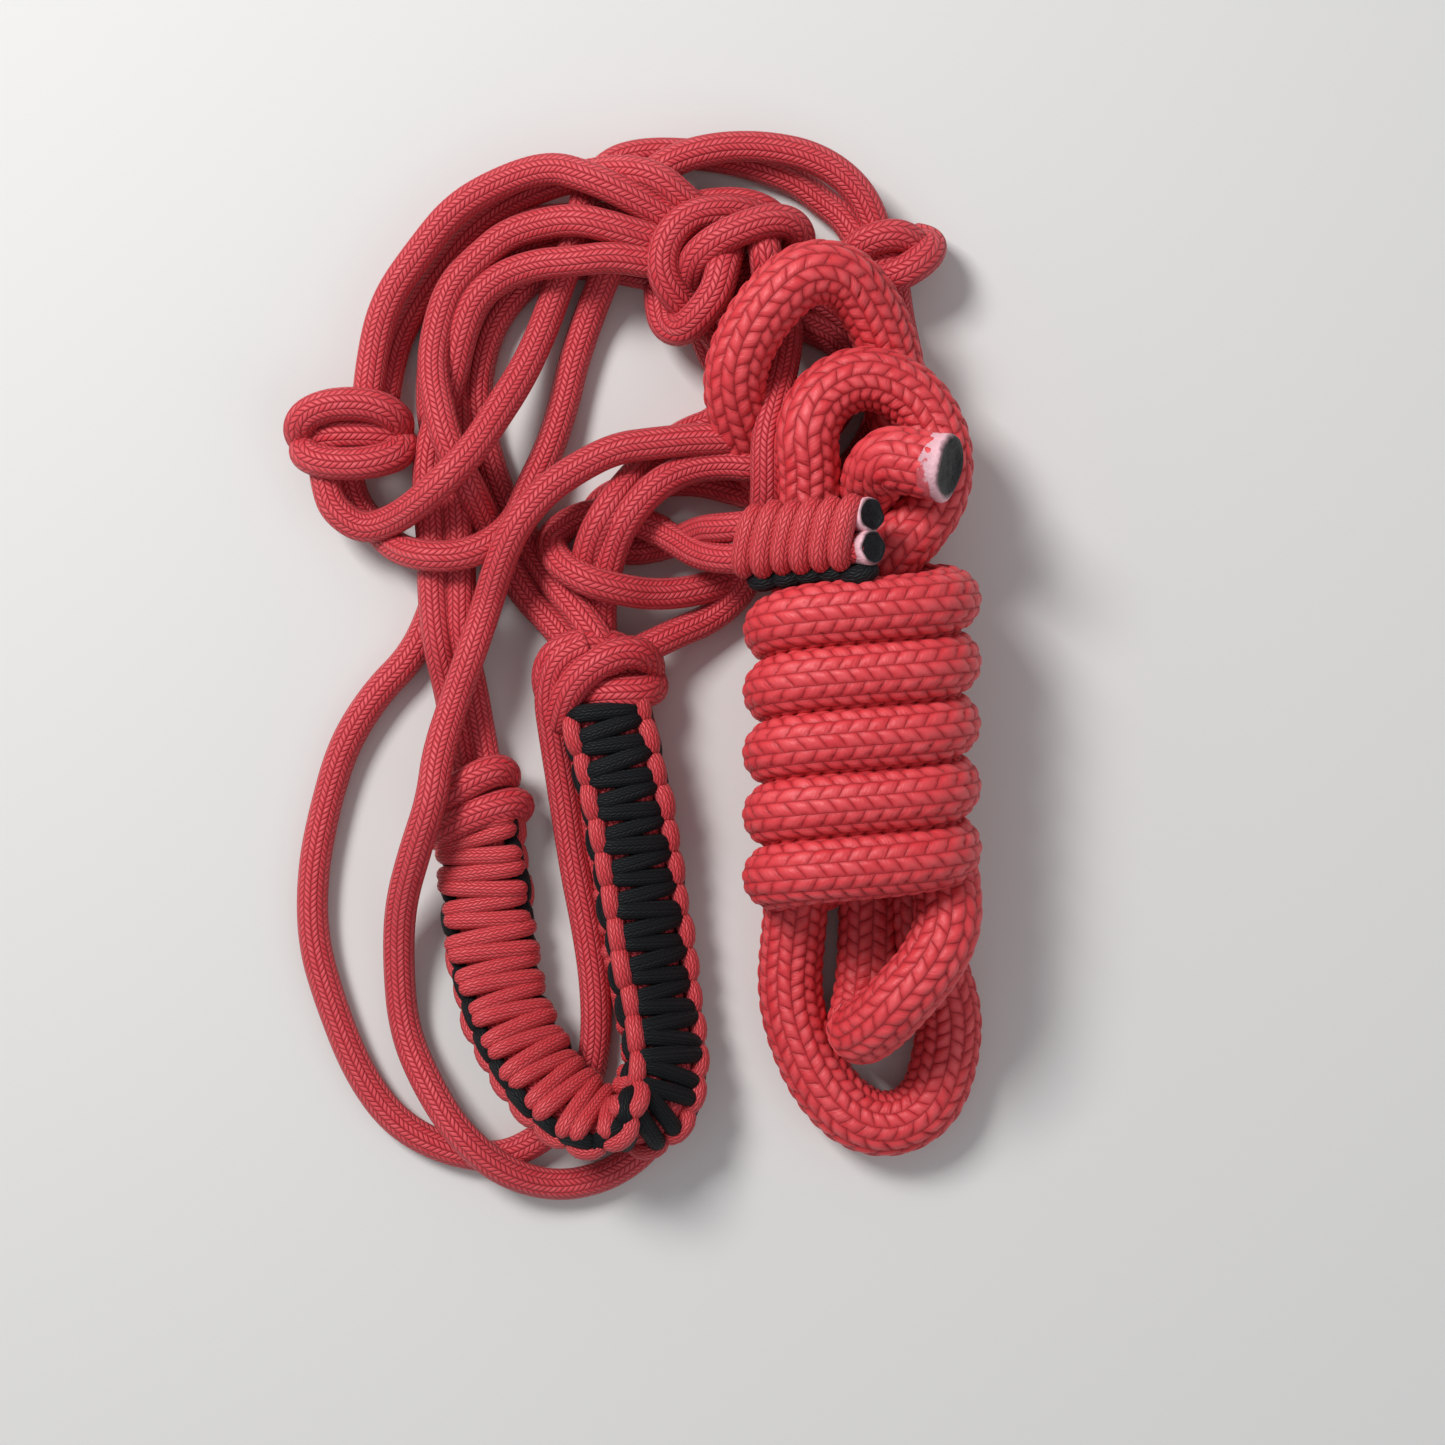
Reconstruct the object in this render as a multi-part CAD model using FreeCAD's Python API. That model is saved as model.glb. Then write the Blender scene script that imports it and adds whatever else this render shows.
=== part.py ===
"""Knotted rope halter with its thick lead rope looped on and gathered in a hank.

The set lies on the floor, which is the plane z = 0, with the top of the
halter's crown towards +Y and the lead rope on the +X side.
Lengths are millimetres and angles are degrees.
"""
import FreeCAD, Part
import math
import os

Vector = FreeCAD.Vector

# Driving dimensions ---------------------------------------------------------

HALTER_D = 6.5          # thin rope that the halter is knotted from
LEAD_D = 14.0           # thick lead rope
LAYER_T = 1.6           # woven cord pressed flat over the cores
CORE_GAP = 0.1          # room between two cores that lie side by side
WEAVE_GAP = 0.15        # room between the cores and the weave round them

HANK_W = 51.0           # hank across its turns
HANK_H = 44.0           # hank from the floor up
HANK_PITCH = 13.05      # from one turn to the next, the rope being pulled tight
HANK_TURNS = 5
HANK_CORNER = 19.0      # how round the turns are at the sides
HANK_CENTRE = (49.0, -14.8)

NOSE_BUMP_W = 3.3       # bumps along each edge of the noseband's weave
FLOOR_GAP = 0.2         # between the floor and the noseband's lowest edge

TAIL_BUMP_W = 1.5       # bumps along each edge of the tail's weave
TAIL_LENGTH = 34.0      # from the bend to the cut ends
TAIL_RISE = 27.5        # slope of the tail's end above the floor
TAIL_AZIMUTH = 2.8      # direction of the tail's end, from +X towards +Y
TAIL_PIVOT = (20.5, 26.0, 25.5)
TAIL_SLEEVE_START = 3.5  # bare rope between the bend and the sleeve
TAIL_SLEEVE_LENGTH = 28.0

TIP_PIVOT = (53.0, 43.5, 32.5)
TIP_TARGET = (66.3, 40.2, 39.0)
SEAL_T = 1.6            # melted skin on a cut end
BEND_GAP = 0.3          # room between the two sides of a bending place

ROUNDING = 0.45         # share of a turn's pitch that rounds its edges
ARC_SHARE = 0.45        # share of the shorter run that an arc may take
KNOT_ROUNDNESS = 0.48   # corner radius of a knot's turns, as a share of their smaller side
WEAVE_SIDE = 0.6        # height of a weave's upright side, as a share of its thickness
WEAVE_BEVEL = 0.4       # width of the bevel above it, as a share of the same
HOLLOW_SIDE = 0.66      # the same two shares for the hollow that the cores lie in
HOLLOW_BEVEL = 0.53
OUTPUT = "parts"

# Routes ---------------------------------------------------------------------
# Each point is (x, y, lift). The lift is how many rope thicknesses a strand is
# raised by what it lies on, so a strand on the floor has a lift of 0.

HALTER_ROUTES = {
    "crown_strand_outer": [
        (-57, 59, 1.0), (-56, 69, 1.0), (-53, 80, 1.0), (-46, 90, 1.0), (-38, 100, 1.0),
        (-27, 106, 1.0), (-17, 108, 1.5), (-9, 105, 2.0), (-2, 102, 2.0), (6, 98, 1.7),
        (13, 94, 1.3),
    ],
    "crown_strand_inner": [
        (-54, 59, 0.4), (-53, 69, 0.0), (-49, 78, 0.0), (-43, 87, 0.0), (-36, 96, 0.0),
        (-28, 102, 0.0), (-18, 106, 0.4), (-9, 107, 1.0), (-1, 107, 1.7), (6, 105, 2.0),
        (11, 101, 1.8), (17, 96, 1.3),
    ],
    "poll_strand_outer": [
        (54, 92, 0.7), (52, 99, 0.9), (47, 106, 1.0), (39, 111, 1.0), (29, 113, 1.0),
        (20, 113, 1.0), (11, 111, 1.0), (4, 107, 1.0), (0, 102, 0.9), (-2, 95, 1.0),
        (-4, 89, 1.0), (-7, 83, 0.4), (-10, 76, 0.0), (-13, 67, 0.0), (-15, 58, 0.0),
        (-18, 48, 0.3), (-22, 39, 0.8), (-25, 31, 1.3), (-31, 26, 1.7), (-37, 24, 1.9),
        (-44, 24, 1.8), (-51, 26, 0.9), (-56, 31, 0.0), (-60, 35, 0.0), (-62, 41, 0.3),
        (-62, 47, 0.6),
    ],
    "poll_strand_inner": [
        (50, 92, 0.6), (47, 98, 0.3), (42, 102, 0.0), (36, 107, 0.0), (28, 110, 0.0),
        (20, 112, 0.0), (11, 113, 0.0), (2, 113, 0.0), (-5, 111, 0.0), (-10, 104, 0.4),
        (-11, 97, 1.0), (-13, 90, 1.0), (-16, 83, 0.6), (-19, 75, 0.4), (-23, 65, 0.9),
        (-28, 56, 1.5), (-33, 47, 2.3), (-38, 41, 2.8), (-44, 36, 2.3), (-51, 32, 1.3),
        (-58, 30, 1.0), (-64, 34, 1.0), (-66, 39, 0.9), (-67, 46, 0.9),
    ],
    "throat_strand_outer": [
        (15, 90, 1.3), (5, 92, 1.7), (-3, 94, 2.0), (-11, 96, 2.0), (-19, 96, 1.3),
        (-27, 94, 1.0), (-33, 89, 1.0), (-39, 83, 1.0), (-42, 74, 1.0), (-43, 65, 1.3),
        (-41, 55, 1.8), (-39, 48, 1.9), (-35, 40, 1.7), (-32, 33, 0.8), (-29, 26, 0.0),
        (-24, 17, 0.0), (-18, 11, 0.1), (-13, 5, 0.6), (-9, 0, 0.9),
    ],
    "throat_strand_inner": [
        (13, 85, 0.3), (5, 86, 0.0), (-5, 88, 0.0), (-14, 89, 0.0), (-22, 86, 0.0),
        (-28, 80, 0.0), (-32, 73, 0.0), (-34, 64, 0.0), (-34, 56, 0.0), (-32, 48, 0.0),
        (-29, 38, 0.0), (-23, 28, 0.0), (-17, 19, 0.4), (-11, 12, 1.2), (-6, 5, 1.5),
        (-4, -1, 1.3),
    ],
    "cheek_strand_outer": [
        (15, 86, 1.3), (5, 87, 1.7), (-4, 88, 2.0), (-12, 87, 2.0), (-20, 87, 1.5),
        (-28, 85, 1.0), (-34, 80, 1.0), (-37, 72, 0.9), (-39, 63, 0.7), (-42, 54, 0.7),
        (-44, 46, 0.9), (-44, 37, 0.9), (-43, 26, 0.9), (-43, 17, 0.9), (-42, 6, 1.0),
        (-40, -4, 0.3), (-38, -15, 0.3), (-36, -24, 0.7),
    ],
    "cheek_strand_inner": [
        (15, 89, 0.4), (5, 92, 0.0), (-5, 94, 0.0), (-13, 94, 0.0), (-21, 92, 0.0),
        (-29, 89, 0.0), (-34, 83, 0.0), (-38, 75, 0.0), (-39, 66, 0.0), (-38, 55, 0.3),
        (-38, 45, 0.9), (-38, 34, 0.9), (-37, 24, 0.9), (-37, 15, 0.9), (-37, 6, 0.8),
        (-35, -4, 0.1), (-33, -15, 0.3), (-31, -24, 0.7),
    ],
    "chin_strand_inner": [
        (13, 93, 0.3), (4, 97, 0.0), (-5, 99, 0.0), (-14, 99, 0.0), (-22, 98, 0.0),
        (-28, 95, 0.0), (-35, 89, 0.0), (-40, 83, 0.0), (-43, 74, 0.0), (-44, 65, 0.0),
        (-44, 56, 0.0), (-42, 47, 0.0), (-41, 37, 0.0), (-41, 24, 0.0), (-43, 14, 0.0),
        (-48, 3, 0.0), (-56, -5, 0.0), (-63, -16, 0.0), (-67, -29, 0.0), (-70, -44, 0.0),
        (-70, -59, 0.0), (-66, -73, 0.0), (-60, -88, 0.0), (-52, -99, 0.0), (-41, -105, 0.0),
        (-29, -107, 0.0), (-19, -102, 0.0), (-11, -94, 0.0), (-8, -83, 0.0), (-8, -70, 0.0),
        (-10, -56, 0.0), (-13, -42, 0.0), (-15, -27, 0.1), (-17, -14, 0.6), (-18, -5, 1.2),
        (-15, 3, 1.7), (-9, 5, 1.7),
    ],
    "chin_strand_outer": [
        (16, 75, 0.7), (23, 66, 1.2), (28, 58, 1.7), (28, 52, 1.9), (22, 49, 2.0),
        (14, 49, 2.0), (5, 48, 2.1), (-3, 47, 2.1), (-11, 43, 2.1), (-18, 38, 2.3),
        (-24, 31, 2.4), (-28, 23, 1.9), (-31, 14, 1.2), (-34, 4, 1.7), (-38, -7, 1.5),
        (-41, -18, 2.1), (-42, -28, 2.6), (-46, -39, 2.0), (-50, -51, 1.0), (-51, -64, 0.3),
        (-50, -79, 0.0), (-44, -91, 0.6), (-37, -101, 1.0), (-28, -109, 0.7), (-17, -113, 0.1),
        (-6, -111, 0.0), (3, -105, 0.0), (7, -97, 0.0), (5, -88, 0.0), (0, -78, 0.0),
        (-2, -68, 0.0), (-3, -58, 0.0), (-5, -47, 0.0), (-8, -35, 0.0), (-9, -24, 0.0),
        (-9, -14, 0.2), (-8, -6, 0.7),
    ],
    "tie_strand_outer": [
        (-6, 3, 0.6), (-7, 11, 0.6), (-6, 18, 1.0), (-4, 26, 1.5), (-1, 32, 2.0),
        (5, 39, 2.0), (12, 43, 1.6), (20, 44, 1.7), (27, 43, 2.0), (34, 45, 1.5),
        (41, 51, 0.7), (46, 58, 0.3), (48, 66, 0.0), (45, 72, 0.0), (38, 75, 0.0),
        (31, 79, 0.1), (23, 83, 0.4),
    ],
    "tie_strand_inner": [
        (-10, 4, 0.6), (-10, 12, 0.6), (-10, 20, 0.9), (-9, 27, 1.5), (-5, 34, 2.0),
        (0, 41, 1.3), (5, 47, 0.4), (12, 52, 0.0), (18, 54, 0.0), (22, 59, 0.0),
        (21, 64, 0.0), (17, 69, 0.1), (15, 75, 0.6),
    ],
    "tie_strand_low": [
        (29, 91, 0.4), (31, 83, 0.3), (34, 74, 0.9), (33, 66, 1.8), (31, 57, 2.6),
        (29, 49, 2.8), (29, 42, 2.8), (29, 35, 2.5), (28, 29, 1.9), (26, 22, 1.0),
        (23, 16, 0.3), (17, 11, 0.2), (10, 8, 0.6), (4, 5, 1.0), (-2, 2, 1.3),
    ],
    "tail_strand_outer": [
        (14.5, 24.2, 2.2), (9, 28, 1.3), (4, 31, 1.0), (-2, 33, 1.0), (-8, 34, 0.7),
        (-14, 32, 0.4), (-18, 28, 0.6), (-16, 23, 1.3), (-10, 19, 2.0), (-3, 17, 1.8),
        (5, 16, 1.0), (14, 17, 0.7), (23, 20, 0.3), (32, 23, 0.0), (41, 27, 0.0),
        (49, 33, 0.0), (56, 41, 0.0), (60, 51, 0.0), (61, 61, 0.0), (60, 69, 0.0),
        (58, 77, 0.1), (57, 84, 0.4),
    ],
    "tail_strand_inner": [
        (15.3, 29.6, 2.1), (11, 28.4, 0.8), (6, 27, 0.1), (0, 26, 0.0), (-6, 27, 0.0),
        (-9, 32, 0.0), (-7, 37, 0.0), (0, 40, 0.2), (8, 41, 0.4), (15, 41, 0.4),
        (23, 39, 0.3), (30, 37, 0.0), (37, 37, 0.0), (45, 41, 0.0), (51, 48, 0.0),
        (55, 57, 0.0), (55, 66, 0.0), (51, 73, 0.0), (45, 78, 0.0), (39, 82, 0.0),
        (37, 89, 0.1),
    ],
}

LEAD_ROUTES = {
    "lead_eye_loop": [
        (57, 53, 0.4), (57, 61, 0.4), (55, 69, 0.6), (51, 77, 0.9), (45, 83, 1.2),
        (37, 83, 1.4), (30, 77, 1.4), (25, 70, 1.3), (22, 62, 1.1), (23, 54, 0.7),
        (26, 47, 0.2), (32, 40, 0.0), (35, 32, 0.0), (37, 24, 0.0), (37, 16, 0.1),
    ],
    "lead_locking_loop": [
        (49, 16, 1.1), (53, 22, 1.2), (59, 28, 1.2), (64, 34, 1.1), (66, 42, 1.1),
        (65, 50, 1.0), (60, 58, 1.0), (50, 62, 1.1), (41, 58, 1.2), (37, 50, 1.3),
        (38, 42, 1.1), (38, 34, 1.0), (39, 26, 0.9), (41, 16, 0.8),
    ],
    "lead_lower_bight": [
        (36, -46, 0.4), (35, -57, 0.1), (34, -69, 0.0), (36, -79, 0.0), (41, -90, 0.0),
        (49, -98, 0.0), (58, -99, 0.0), (65, -94, 0.0), (68, -85, 0.0), (69, -76, 0.0),
        (67, -68, 0.1), (64, -61, 0.2), (63, -54, 0.3), (63, -45, 0.3),
    ],
    "lead_turn_bight": [
        (67, -45, 1.2), (67, -54, 1.5), (63, -62, 1.6), (57, -69, 1.5), (53, -74, 1.2),
        (49, -78, 0.7), (49, -77, 0.2), (51, -70, 0.0), (52, -59, 0.0), (52, -46, 0.1),
    ],
    "lead_free_end": [
        (50, 16, 0.5), (50, 26, 0.4), (50, 36, 0.8),
    ],
}

# The noseband's middle line from the left nose knot round to the right one. Each
# point is (x, y, lift, lean). The lean is how far the band's raised edge stands
# above level, and is below zero where that edge dips instead.
NOSE_ROUTE = [
    (-34.5, -31.0, 0.0, -20), (-32.5, -39.0, 0.0, -18), (-32.0, -49.0, 0.0, -8),
    (-30.5, -60.5, 0.0, 12), (-28.5, -69.5, 0.0, 24), (-23.5, -81.5, 0.5, 30),
    (-15.5, -91.5, 1.0, 32), (-7.5, -97.0, 1.0, 32), (-1.0, -97.5, 1.0, 30),
    (4.5, -94.5, 1.0, 30), (7.0, -89.0, 0.8, 30), (7.0, -81.5, 0.4, 30),
    (5.5, -72.0, 0.1, 28), (3.5, -60.5, 0.1, 24), (2.0, -48.0, 0.2, 18),
    (0.0, -35.0, 0.5, 12), (-2.0, -24.0, 0.7, 6), (-4.5, -14.0, 0.8, 4),
    (-6.0, -7.5, 0.8, 2),
]

# Knots: centre x and y, direction of the turns from +X, width across, height, pitch, turns.
KNOTS = {
    "left_cheek_knot": (-63.0, 51.0, 0.0, 26.0, 17.0, 9.5, 2),
    "right_cheek_knot": (58.0, 90.0, 27.0, 18.0, 16.0, 8.0, 2),
    "throat_knot": (20.0, 88.0, 90.0, 33.0, 22.0, 8.5, 4),
    "left_nose_knot": (-36.5, -28.0, 30.0, 21.0, 16.0, 8.5, 2),
    "right_nose_knot": (-8.5, -2.0, 33.0, 25.0, 19.0, 8.5, 2),
}


# Tubes ----------------------------------------------------------------------

def place(point, diameter):
    """Turn a route point with a lift into a place in space."""
    x, y, lift = point
    return Vector(x, y, diameter * (0.5 + lift))


def tube_path(points):
    """Straight runs joined by tangent arcs as large as the runs allow."""
    edges = []
    radii = []
    start = points[0]
    for before, corner, after in zip(points, points[1:], points[2:]):
        way_in = (corner - before).normalize()
        way_out = (after - corner).normalize()
        turn = way_in.getAngle(way_out)
        shorter = min(corner.distanceToPoint(before), corner.distanceToPoint(after))
        cut = ARC_SHARE * shorter
        radius = cut / math.tan(turn / 2.0)
        radii.append(radius)
        arc_start = corner - way_in * cut
        arc_end = corner + way_out * cut
        inward = (way_out - way_in).normalize()
        sagitta = radius / math.cos(turn / 2.0) - radius
        arc_middle = corner + inward * sagitta
        edges.append(Part.LineSegment(start, arc_start).toShape())
        edges.append(Part.Arc(arc_start, arc_middle, arc_end).toShape())
        start = arc_end
    edges.append(Part.LineSegment(start, points[-1]).toShape())
    return Part.Wire(edges), radii


def make_tube(name, points, diameter):
    """A plain round tube along a route, with its radii and volume reported."""
    path, radii = tube_path(points)
    ring = Part.Circle(points[0], points[1] - points[0], diameter / 2.0).toShape()
    tube = path.makePipeShell([Part.Wire([ring])], True, False)
    if tube.ShapeType != "Solid":
        tube = Part.Solid(tube)
    expected = math.pi * diameter ** 2 / 4.0 * path.Length
    text = "%-22s length %6.1f  radii %s  volume ratio %.4f"
    shown = " ".join("%.0f" % radius for radius in radii)
    print(text % (name, path.Length, shown, tube.Volume / expected))
    return tube


def stop_short(before, pivot, distance):
    """The last point of a strand that ends a little before a bending place."""
    return pivot - (pivot - before).normalize() * distance


# Turned shapes --------------------------------------------------------------

def aim(shape, origin, direction):
    """Move a shape built along +X from the origin so that it starts and points as told."""
    turn = FreeCAD.Rotation(Vector(1, 0, 0), direction)
    shape.Placement = FreeCAD.Placement(origin, turn)
    return shape


def round_ended_rod(origin, direction, length, radius):
    """A rod with a half ball at its start, centred on the origin, and a flat far end."""
    arc = Part.Arc(
        Vector(-radius, 0, 0),
        Vector(-radius * math.sqrt(0.5), 0, radius * math.sqrt(0.5)),
        Vector(0, 0, radius),
    )
    side = Part.LineSegment(Vector(0, 0, radius), Vector(length, 0, radius))
    end = Part.LineSegment(Vector(length, 0, radius), Vector(length, 0, 0))
    middle = Part.LineSegment(Vector(length, 0, 0), Vector(-radius, 0, 0))
    outline = Part.Wire([piece.toShape() for piece in (arc, side, end, middle)])
    rod = Part.Face(outline).revolve(Vector(0, 0, 0), Vector(1, 0, 0), 360)
    return aim(rod, origin, direction)


def seal_cap(origin, direction, radius):
    """The melted and hardened skin on a cut end, with a rounded rim."""
    cap = Part.makeCylinder(radius, SEAL_T, Vector(0, 0, 0), Vector(1, 0, 0))
    rim = [edge for edge in cap.Edges if edge.BoundBox.XMin > SEAL_T / 2.0 and len(edge.Vertexes) == 1]
    cap = cap.makeFillet(SEAL_T / 2.0, rim)
    return aim(cap, origin, direction)


# Hank and knots -------------------------------------------------------------

def outline_with_corners(width, height, corner):
    """A rounded rectangle in the XZ plane, standing on z = 0 and centred on x = 0."""
    half = width / 2.0
    slant = corner * (1.0 - math.sqrt(0.5))
    lines = [
        (Vector(-half + corner, 0, 0), Vector(half - corner, 0, 0)),
        (Vector(half, 0, corner), Vector(half, 0, height - corner)),
        (Vector(half - corner, 0, height), Vector(-half + corner, 0, height)),
        (Vector(-half, 0, height - corner), Vector(-half, 0, corner)),
    ]
    middles = [
        Vector(half - slant, 0, slant),
        Vector(half - slant, 0, height - slant),
        Vector(-half + slant, 0, height - slant),
        Vector(-half + slant, 0, slant),
    ]
    edges = []
    for index, (line, middle) in enumerate(zip(lines, middles)):
        following = lines[(index + 1) % len(lines)]
        edges.append(Part.LineSegment(line[0], line[1]).toShape())
        edges.append(Part.Arc(line[1], middle, following[0]).toShape())
    return Part.Wire(edges)


def turn_stack(centre, direction, size, corner, pitch, turns):
    """Turns of rope side by side as one solid, each a disc with rounded edges."""
    width, height = size
    outline = outline_with_corners(width, height, corner)
    disc = Part.Face(outline).extrude(Vector(0, pitch, 0))
    ends = [edge for edge in disc.Edges if edge.BoundBox.YLength < pitch / 2.0]
    disc = disc.makeFillet(ROUNDING * pitch, ends)
    discs = []
    for turn in range(turns):
        copy = disc.copy()
        copy.translate(Vector(0, (turn - turns / 2.0) * pitch, 0))
        discs.append(copy)
    stack = discs[0].multiFuse(discs[1:])
    stack = stack.Solids[0]
    stack.rotate(Vector(0, 0, 0), Vector(0, 0, 1), direction)
    stack.translate(Vector(centre[0], centre[1], 0))
    return stack


def make_hank():
    """The five wraps of the lead rope, standing on the floor."""
    size = (HANK_W, HANK_H)
    return turn_stack(HANK_CENTRE, 0.0, size, HANK_CORNER, HANK_PITCH, HANK_TURNS)


def make_knot(values):
    """One tied knot, from its row in the table of knots."""
    x, y, direction, width, height, pitch, turns = values
    corner = KNOT_ROUNDNESS * min(width, height)
    return turn_stack((x, y), direction, (width, height), corner, pitch, turns)


# Woven bands ----------------------------------------------------------------

def woven_half(bump, side):
    """Section of one half of a weave round two cores, as (across, out) points."""
    core = HALTER_D
    inner = core + CORE_GAP / 2.0 + WEAVE_GAP
    cover = core / 2.0 + WEAVE_GAP
    outer = inner + bump
    top = cover + LAYER_T
    side_z = WEAVE_SIDE * top
    bevel = outer - WEAVE_BEVEL * top
    hollow_z = HOLLOW_SIDE * cover
    hollow_bevel = inner - HOLLOW_BEVEL * cover
    points = [
        (-outer, 0.0), (-outer, side_z), (-bevel, top), (bevel, top), (outer, side_z), (outer, 0.0),
        (inner, 0.0), (inner, hollow_z), (hollow_bevel, cover),
        (-hollow_bevel, cover), (-inner, hollow_z), (-inner, 0.0),
    ]
    return [(across, out * side) for across, out in points]


def nose_stations():
    """Place, across, outward and forward directions at each point of the noseband."""
    section = woven_half(NOSE_BUMP_W, 1.0) + woven_half(NOSE_BUMP_W, -1.0)
    flat = [Vector(x, y, 0) for x, y, _, _ in NOSE_ROUTE]
    stations = []
    for index, (x, y, lift, lean) in enumerate(NOSE_ROUTE):
        ahead = flat[min(index + 1, len(flat) - 1)]
        behind = flat[max(index - 1, 0)]
        along = (ahead - behind).normalize()
        raised = Vector(-math.cos(math.radians(lean)), 0, math.sin(math.radians(lean)))
        across = (raised - along * raised.dot(along)).normalize()
        outward = along.cross(across)
        reach = max(-across.z * u - outward.z * v for u, v in section)
        middle = Vector(x, y, FLOOR_GAP + reach + lift * HALTER_D)
        stations.append((middle, across, outward, along))
    return stations


def loft_polygon(stations, section):
    """A closed solid through the same many-sided section at every station."""
    rings = []
    for origin, across, outward, _ in stations:
        points = [origin + across * u + outward * v for u, v in section]
        rings.append(Part.makePolygon(points + [points[0]]))
    return Part.makeLoft(rings, True, True)


def loft_core(stations, offset):
    """A round core that follows the stations at an offset across the band."""
    rings = []
    for origin, across, _, along in stations:
        ring = Part.Circle(origin + across * offset, along, HALTER_D / 2.0)
        rings.append(Part.Wire([ring.toShape()]))
    return Part.makeLoft(rings, True, True)


def make_noseband():
    """Two cores with the black and red weave round them."""
    stations = nose_stations()
    offset = (HALTER_D + CORE_GAP) / 2.0
    return {
        "nose_core_upper": loft_core(stations, offset),
        "nose_core_lower": loft_core(stations, -offset),
        "nose_weave_black": loft_polygon(stations, woven_half(NOSE_BUMP_W, 1.0)),
        "nose_weave_red": loft_polygon(stations, woven_half(NOSE_BUMP_W, -1.0)),
    }


# Woven tail end -------------------------------------------------------------

def tail_axes():
    """Directions along, across and out of the tail's end."""
    rise = math.radians(TAIL_RISE)
    azimuth = math.radians(TAIL_AZIMUTH)
    level = Vector(math.cos(azimuth), math.sin(azimuth), 0)
    along = level * math.cos(rise) + Vector(0, 0, math.sin(rise))
    across = Vector(-math.sin(azimuth), math.cos(azimuth), 0)
    return along, across, along.cross(across)


def tail_pivots():
    """Bending places of the tail's upper and lower strand."""
    across = tail_axes()[1]
    offset = (HALTER_D + CORE_GAP) / 2.0
    middle = Vector(*TAIL_PIVOT)
    return middle + across * offset, middle - across * offset


def make_tail():
    """The tail's moving end: two cores, the weave round them and the melted ends."""
    along, across, outward = tail_axes()
    upper, lower = tail_pivots()
    core_length = TAIL_LENGTH - SEAL_T
    first = Vector(*TAIL_PIVOT) + along * TAIL_SLEEVE_START
    last = first + along * TAIL_SLEEVE_LENGTH
    stations = [(first, across, outward, along), (last, across, outward, along)]
    radius = HALTER_D / 2.0
    return {
        "tail_core_upper": round_ended_rod(upper, along, core_length, radius),
        "tail_core_lower": round_ended_rod(lower, along, core_length, radius),
        "tail_seal_upper": seal_cap(upper + along * core_length, along, radius),
        "tail_seal_lower": seal_cap(lower + along * core_length, along, radius),
        "tail_weave_red": loft_polygon(stations, woven_half(TAIL_BUMP_W, 1.0)),
        "tail_weave_black": loft_polygon(stations, woven_half(TAIL_BUMP_W, -1.0)),
    }


# Assembly -------------------------------------------------------------------

def make_halter_strands():
    """Every stretch of the thin rope between one knot and the next."""
    upper, lower = tail_pivots()
    ends = {"tail_strand_inner": upper, "tail_strand_outer": lower}
    strands = {}
    for name, route in HALTER_ROUTES.items():
        points = [place(point, HALTER_D) for point in route]
        if name in ends:
            short = stop_short(points[0], ends[name], HALTER_D / 2.0 + BEND_GAP)
            points.insert(0, short)
        strands[name] = make_tube(name, points, HALTER_D)
    return strands


def make_lead():
    """The lead rope's loops, bights and free end, and its wraps."""
    pieces = {"lead_hank_wraps": make_hank()}
    pivot = Vector(*TIP_PIVOT)
    for name, route in LEAD_ROUTES.items():
        points = [place(point, LEAD_D) for point in route]
        if name == "lead_free_end":
            points.append(stop_short(points[-1], pivot, LEAD_D / 2.0 + BEND_GAP))
        pieces[name] = make_tube(name, points, LEAD_D)
    way = Vector(*TIP_TARGET) - pivot
    length = way.Length - SEAL_T
    along = Vector(way).normalize()
    pieces["lead_free_tip"] = round_ended_rod(pivot, along, length, LEAD_D / 2.0)
    pieces["lead_end_seal"] = seal_cap(pivot + along * length, along, LEAD_D / 2.0)
    return pieces


def main():
    os.makedirs(OUTPUT, exist_ok=True)
    pieces = make_lead()
    for name, values in KNOTS.items():
        pieces[name] = make_knot(values)
    pieces.update(make_halter_strands())
    pieces.update(make_noseband())
    pieces.update(make_tail())
    for name, shape in pieces.items():
        if not shape.isValid() or shape.Volume <= 0:
            raise RuntimeError("bad solid: " + name)
        shape.exportStep(os.path.join(OUTPUT, name + ".step"))
    print(len(pieces), "nodes")


main()
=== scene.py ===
"""Knotted rope halter with its thick lead rope looped on and gathered in a hank.

Laid out as an add-on: sizes and colours are properties, and each group of like
pieces has its own operator. Lengths are metres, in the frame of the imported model,
except in tables that say millimetres.
"""
import math

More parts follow.
